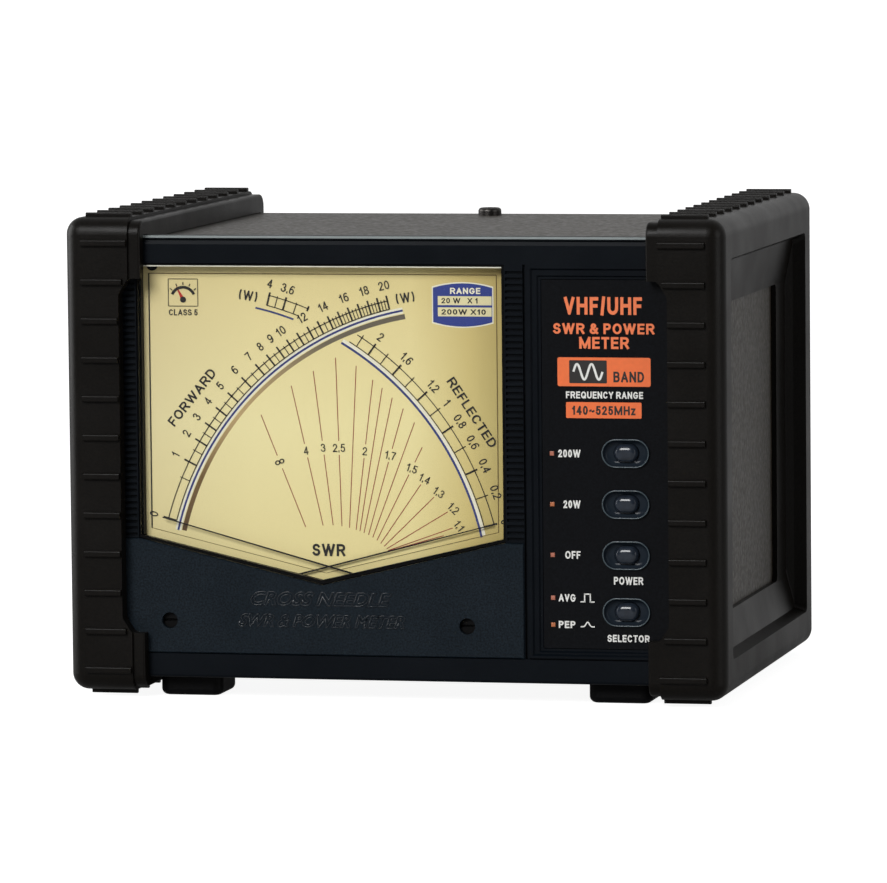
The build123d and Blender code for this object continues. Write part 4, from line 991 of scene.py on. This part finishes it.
def key_beads():
    """Fine bead around each key's dish: a closed tube along the dish's outline, pale as a painted highlight
    of the rim.
    """
    item = Builder("key_bead_painted_highlight", 0.22)
    # Pale colour: painted highlight on the dish's rim; the tube itself gives a real rounded edge.
    item.base(item.ramp(item.noise(0.8), spread(srgb(62, 74, 80), 0.9)))
    item.rough(item.noise(2.0), 0.2, 0.28)
    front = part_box("control_panel")[0].y
    half, reach, thick, sides = DISH_STRAIGHT / 2, DISH_RADIUS - 0.22, 0.17, 8
    path = [(half + px, pz) for px, pz in bow(0, 0, reach, reach, 90, -90, 18)]
    path += [(px - half, pz) for px, pz in bow(0, 0, reach, reach, 270, 90, 18)]
    count = len(path)
    around = [(math.cos(j * math.tau / sides), math.sin(j * math.tau / sides)) for j in range(sides)]
    for name in BUTTON_NODES:
        x, z = node_centre(name)
        points, faces = [], []
        for i, (px, pz) in enumerate(path):
            side = math.copysign(half, px) if abs(px) > half else px
            out = Vector((px - side, pz)).normalized()
            for c, d in around:
                points.append(((x + px + out.x * c * thick) * MM, front + (0.05 - d * thick) * MM,
                               (z + pz + out.y * c * thick) * MM))
            k = (i + 1) % count
            for j in range(sides):
                m = (j + 1) % sides
                faces.append((i * sides + j, i * sides + m, k * sides + m, k * sides + j))
        mesh = bpy.data.meshes.new(name + "_bead")
        mesh.from_pydata(points, [], faces)
        mesh.update()
        mesh.materials.append(item.material)
        for face in mesh.polygons:
            face.use_smooth = True
        add_piece(name + "_bead", mesh)


# Rear labels

def rear_labels():
    """Printing on the rear panel: drawn to be read from the front, then mirrored."""
    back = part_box("rear_panel")[1].y
    sheet = Print()
    for node, text in (("transmitter_socket", "TX"), ("antenna_socket", "ANT")):
        x, z = node_centre(node)
        sheet.text(text, -x, z + 18.5, 3.0, weight=0.17)
    x, z = node_centre("dc_jack")
    sheet.text("DC 13.8V", -x, z + 9.5, 2.0, weight=0.17)
    sheet.text("CENTRE +", -x, z - 9.0, 1.6, weight=0.15)
    piece = sheet.build("rear_labels", back + INK_LAYER, INKS["white"], "cover_paint")
    for vertex in piece.data.vertices:
        vertex.co.x = -vertex.co.x
    piece.data.update()


# Studio

def add_light(name, kind, power, direction):
    """Light of a kind and power, shining along a direction."""
    data = bpy.data.lights.new(name, kind)
    data.energy = power
    light = bpy.data.objects.new(name, data)
    bpy.context.scene.collection.objects.link(light)
    light.rotation_euler = Vector(direction).to_track_quat("-Z", "Y").to_euler()
    return light


def add_softbox(name, place, size, power):
    """Rectangular light turned towards the middle of the object."""
    light = add_light(name, "AREA", power, Vector((0, 0, 0.06)) - Vector(place))
    light.data.shape = "RECTANGLE"
    light.data.size, light.data.size_y = size
    light.location = place


def add_floor():
    """Pale floor, lighter to the camera than to the light that it throws back on the object."""
    ground = bpy.data.meshes.new("floor")
    half = 14.0
    corners = [(-half, -half, 0), (half, -half, 0), (half, half, 0), (-half, half, 0)]
    ground.from_pydata(corners, [], [(0, 1, 2, 3)])
    floor = bpy.data.objects.new("floor", ground)
    bpy.context.scene.collection.objects.link(floor)
    item = Builder("floor_pale", 0.7, specular=0.05)
    item.base(item.ramp(item.noise(300.0), [(0.3, (0.34, 0.34, 0.34, 1)), (0.7, (0.38, 0.38, 0.38, 1))]))
    item.shader.inputs["Emission Color"].default_value = (1, 1, 1, 1)
    direct = item.node("ShaderNodeLightPath").outputs["Is Camera Ray"]
    item.link(item.between(direct, 0.0, 1.0, 0.08, 0.92), item.shader.inputs["Emission Strength"])
    floor.data.materials.append(item.material)


def add_world():
    """White ground to the camera, and a soft glow from behind and above on the object."""
    world = bpy.data.worlds.new("studio")
    bpy.context.scene.world = world
    world.use_nodes = True
    tree = world.node_tree
    direction = tree.nodes.new("ShaderNodeTexCoord").outputs["Generated"]
    lean = tree.nodes.new("ShaderNodeVectorMath")
    lean.operation = "DOT_PRODUCT"
    lean.inputs[1].default_value = (0.0, 0.95, 0.30)
    tree.links.new(direction, lean.inputs[0])
    glow = tree.nodes.new("ShaderNodeMapRange")
    glow.interpolation_type = "SMOOTHSTEP"
    for key, number in (("From Min", -0.55), ("From Max", 0.75), ("To Min", 0.02), ("To Max", 0.55)):
        glow.inputs[key].default_value = number
    tree.links.new(lean.outputs["Value"], glow.inputs["Value"])
    seen = tree.nodes.new("ShaderNodeLightPath").outputs["Is Camera Ray"]
    strength = tree.nodes.new("ShaderNodeMath")
    strength.operation = "MAXIMUM"
    tree.links.new(seen, strength.inputs[0])
    tree.links.new(glow.outputs["Result"], strength.inputs[1])
    shown = tree.nodes["Background"]
    shown.inputs["Color"].default_value = (1, 1, 1, 1)
    tree.links.new(strength.outputs["Value"], shown.inputs["Strength"])


def camera():
    """Long lens, to the right of the dial's middle and a little above it."""
    yaw, pitch, roll = math.radians(12.985), math.radians(5.146), math.radians(-0.557)
    distance = 1.6763
    target = Vector((13.04 * MM, CAD_BOX[0][1] + 1.0 * MM, 64.8 * MM))
    forward = Vector((-math.sin(yaw) * math.cos(pitch), math.cos(yaw) * math.cos(pitch), -math.sin(pitch)))
    right = Vector((math.cos(yaw), math.sin(yaw), 0))
    up = right.cross(forward)
    across = right * math.cos(roll) + up * math.sin(roll)
    upward = up * math.cos(roll) - right * math.sin(roll)
    data = bpy.data.cameras.new("camera")
    data.lens = 279.63
    data.sensor_width = 36.0
    data.clip_start = 0.05
    data.clip_end = 60.0
    view = bpy.data.objects.new("camera", data)
    bpy.context.scene.collection.objects.link(view)
    turn = Matrix((across, upward, -forward)).transposed()
    view.matrix_world = Matrix.Translation(target - forward * distance) @ turn.to_4x4()
    bpy.context.scene.camera = view


def studio():
    camera()
    add_floor()
    sun = add_light("sun", "SUN", 2.38, (0.26, 0.82, -0.50))
    sun.data.angle = math.radians(26)
    add_softbox("left_softbox", (-0.9, 0.0, 0.22), (0.6, 0.8), 7.0)
    add_softbox("right_softbox", (0.85, -0.35, 0.22), (0.4, 0.8), 2.6)
    add_world()
    bpy.context.scene.view_settings.view_transform = "Standard"


dress_nodes()
dial()
control_panel()
bezel_lettering()
bright_edges()
key_beads()
rear_labels()
studio()

import json
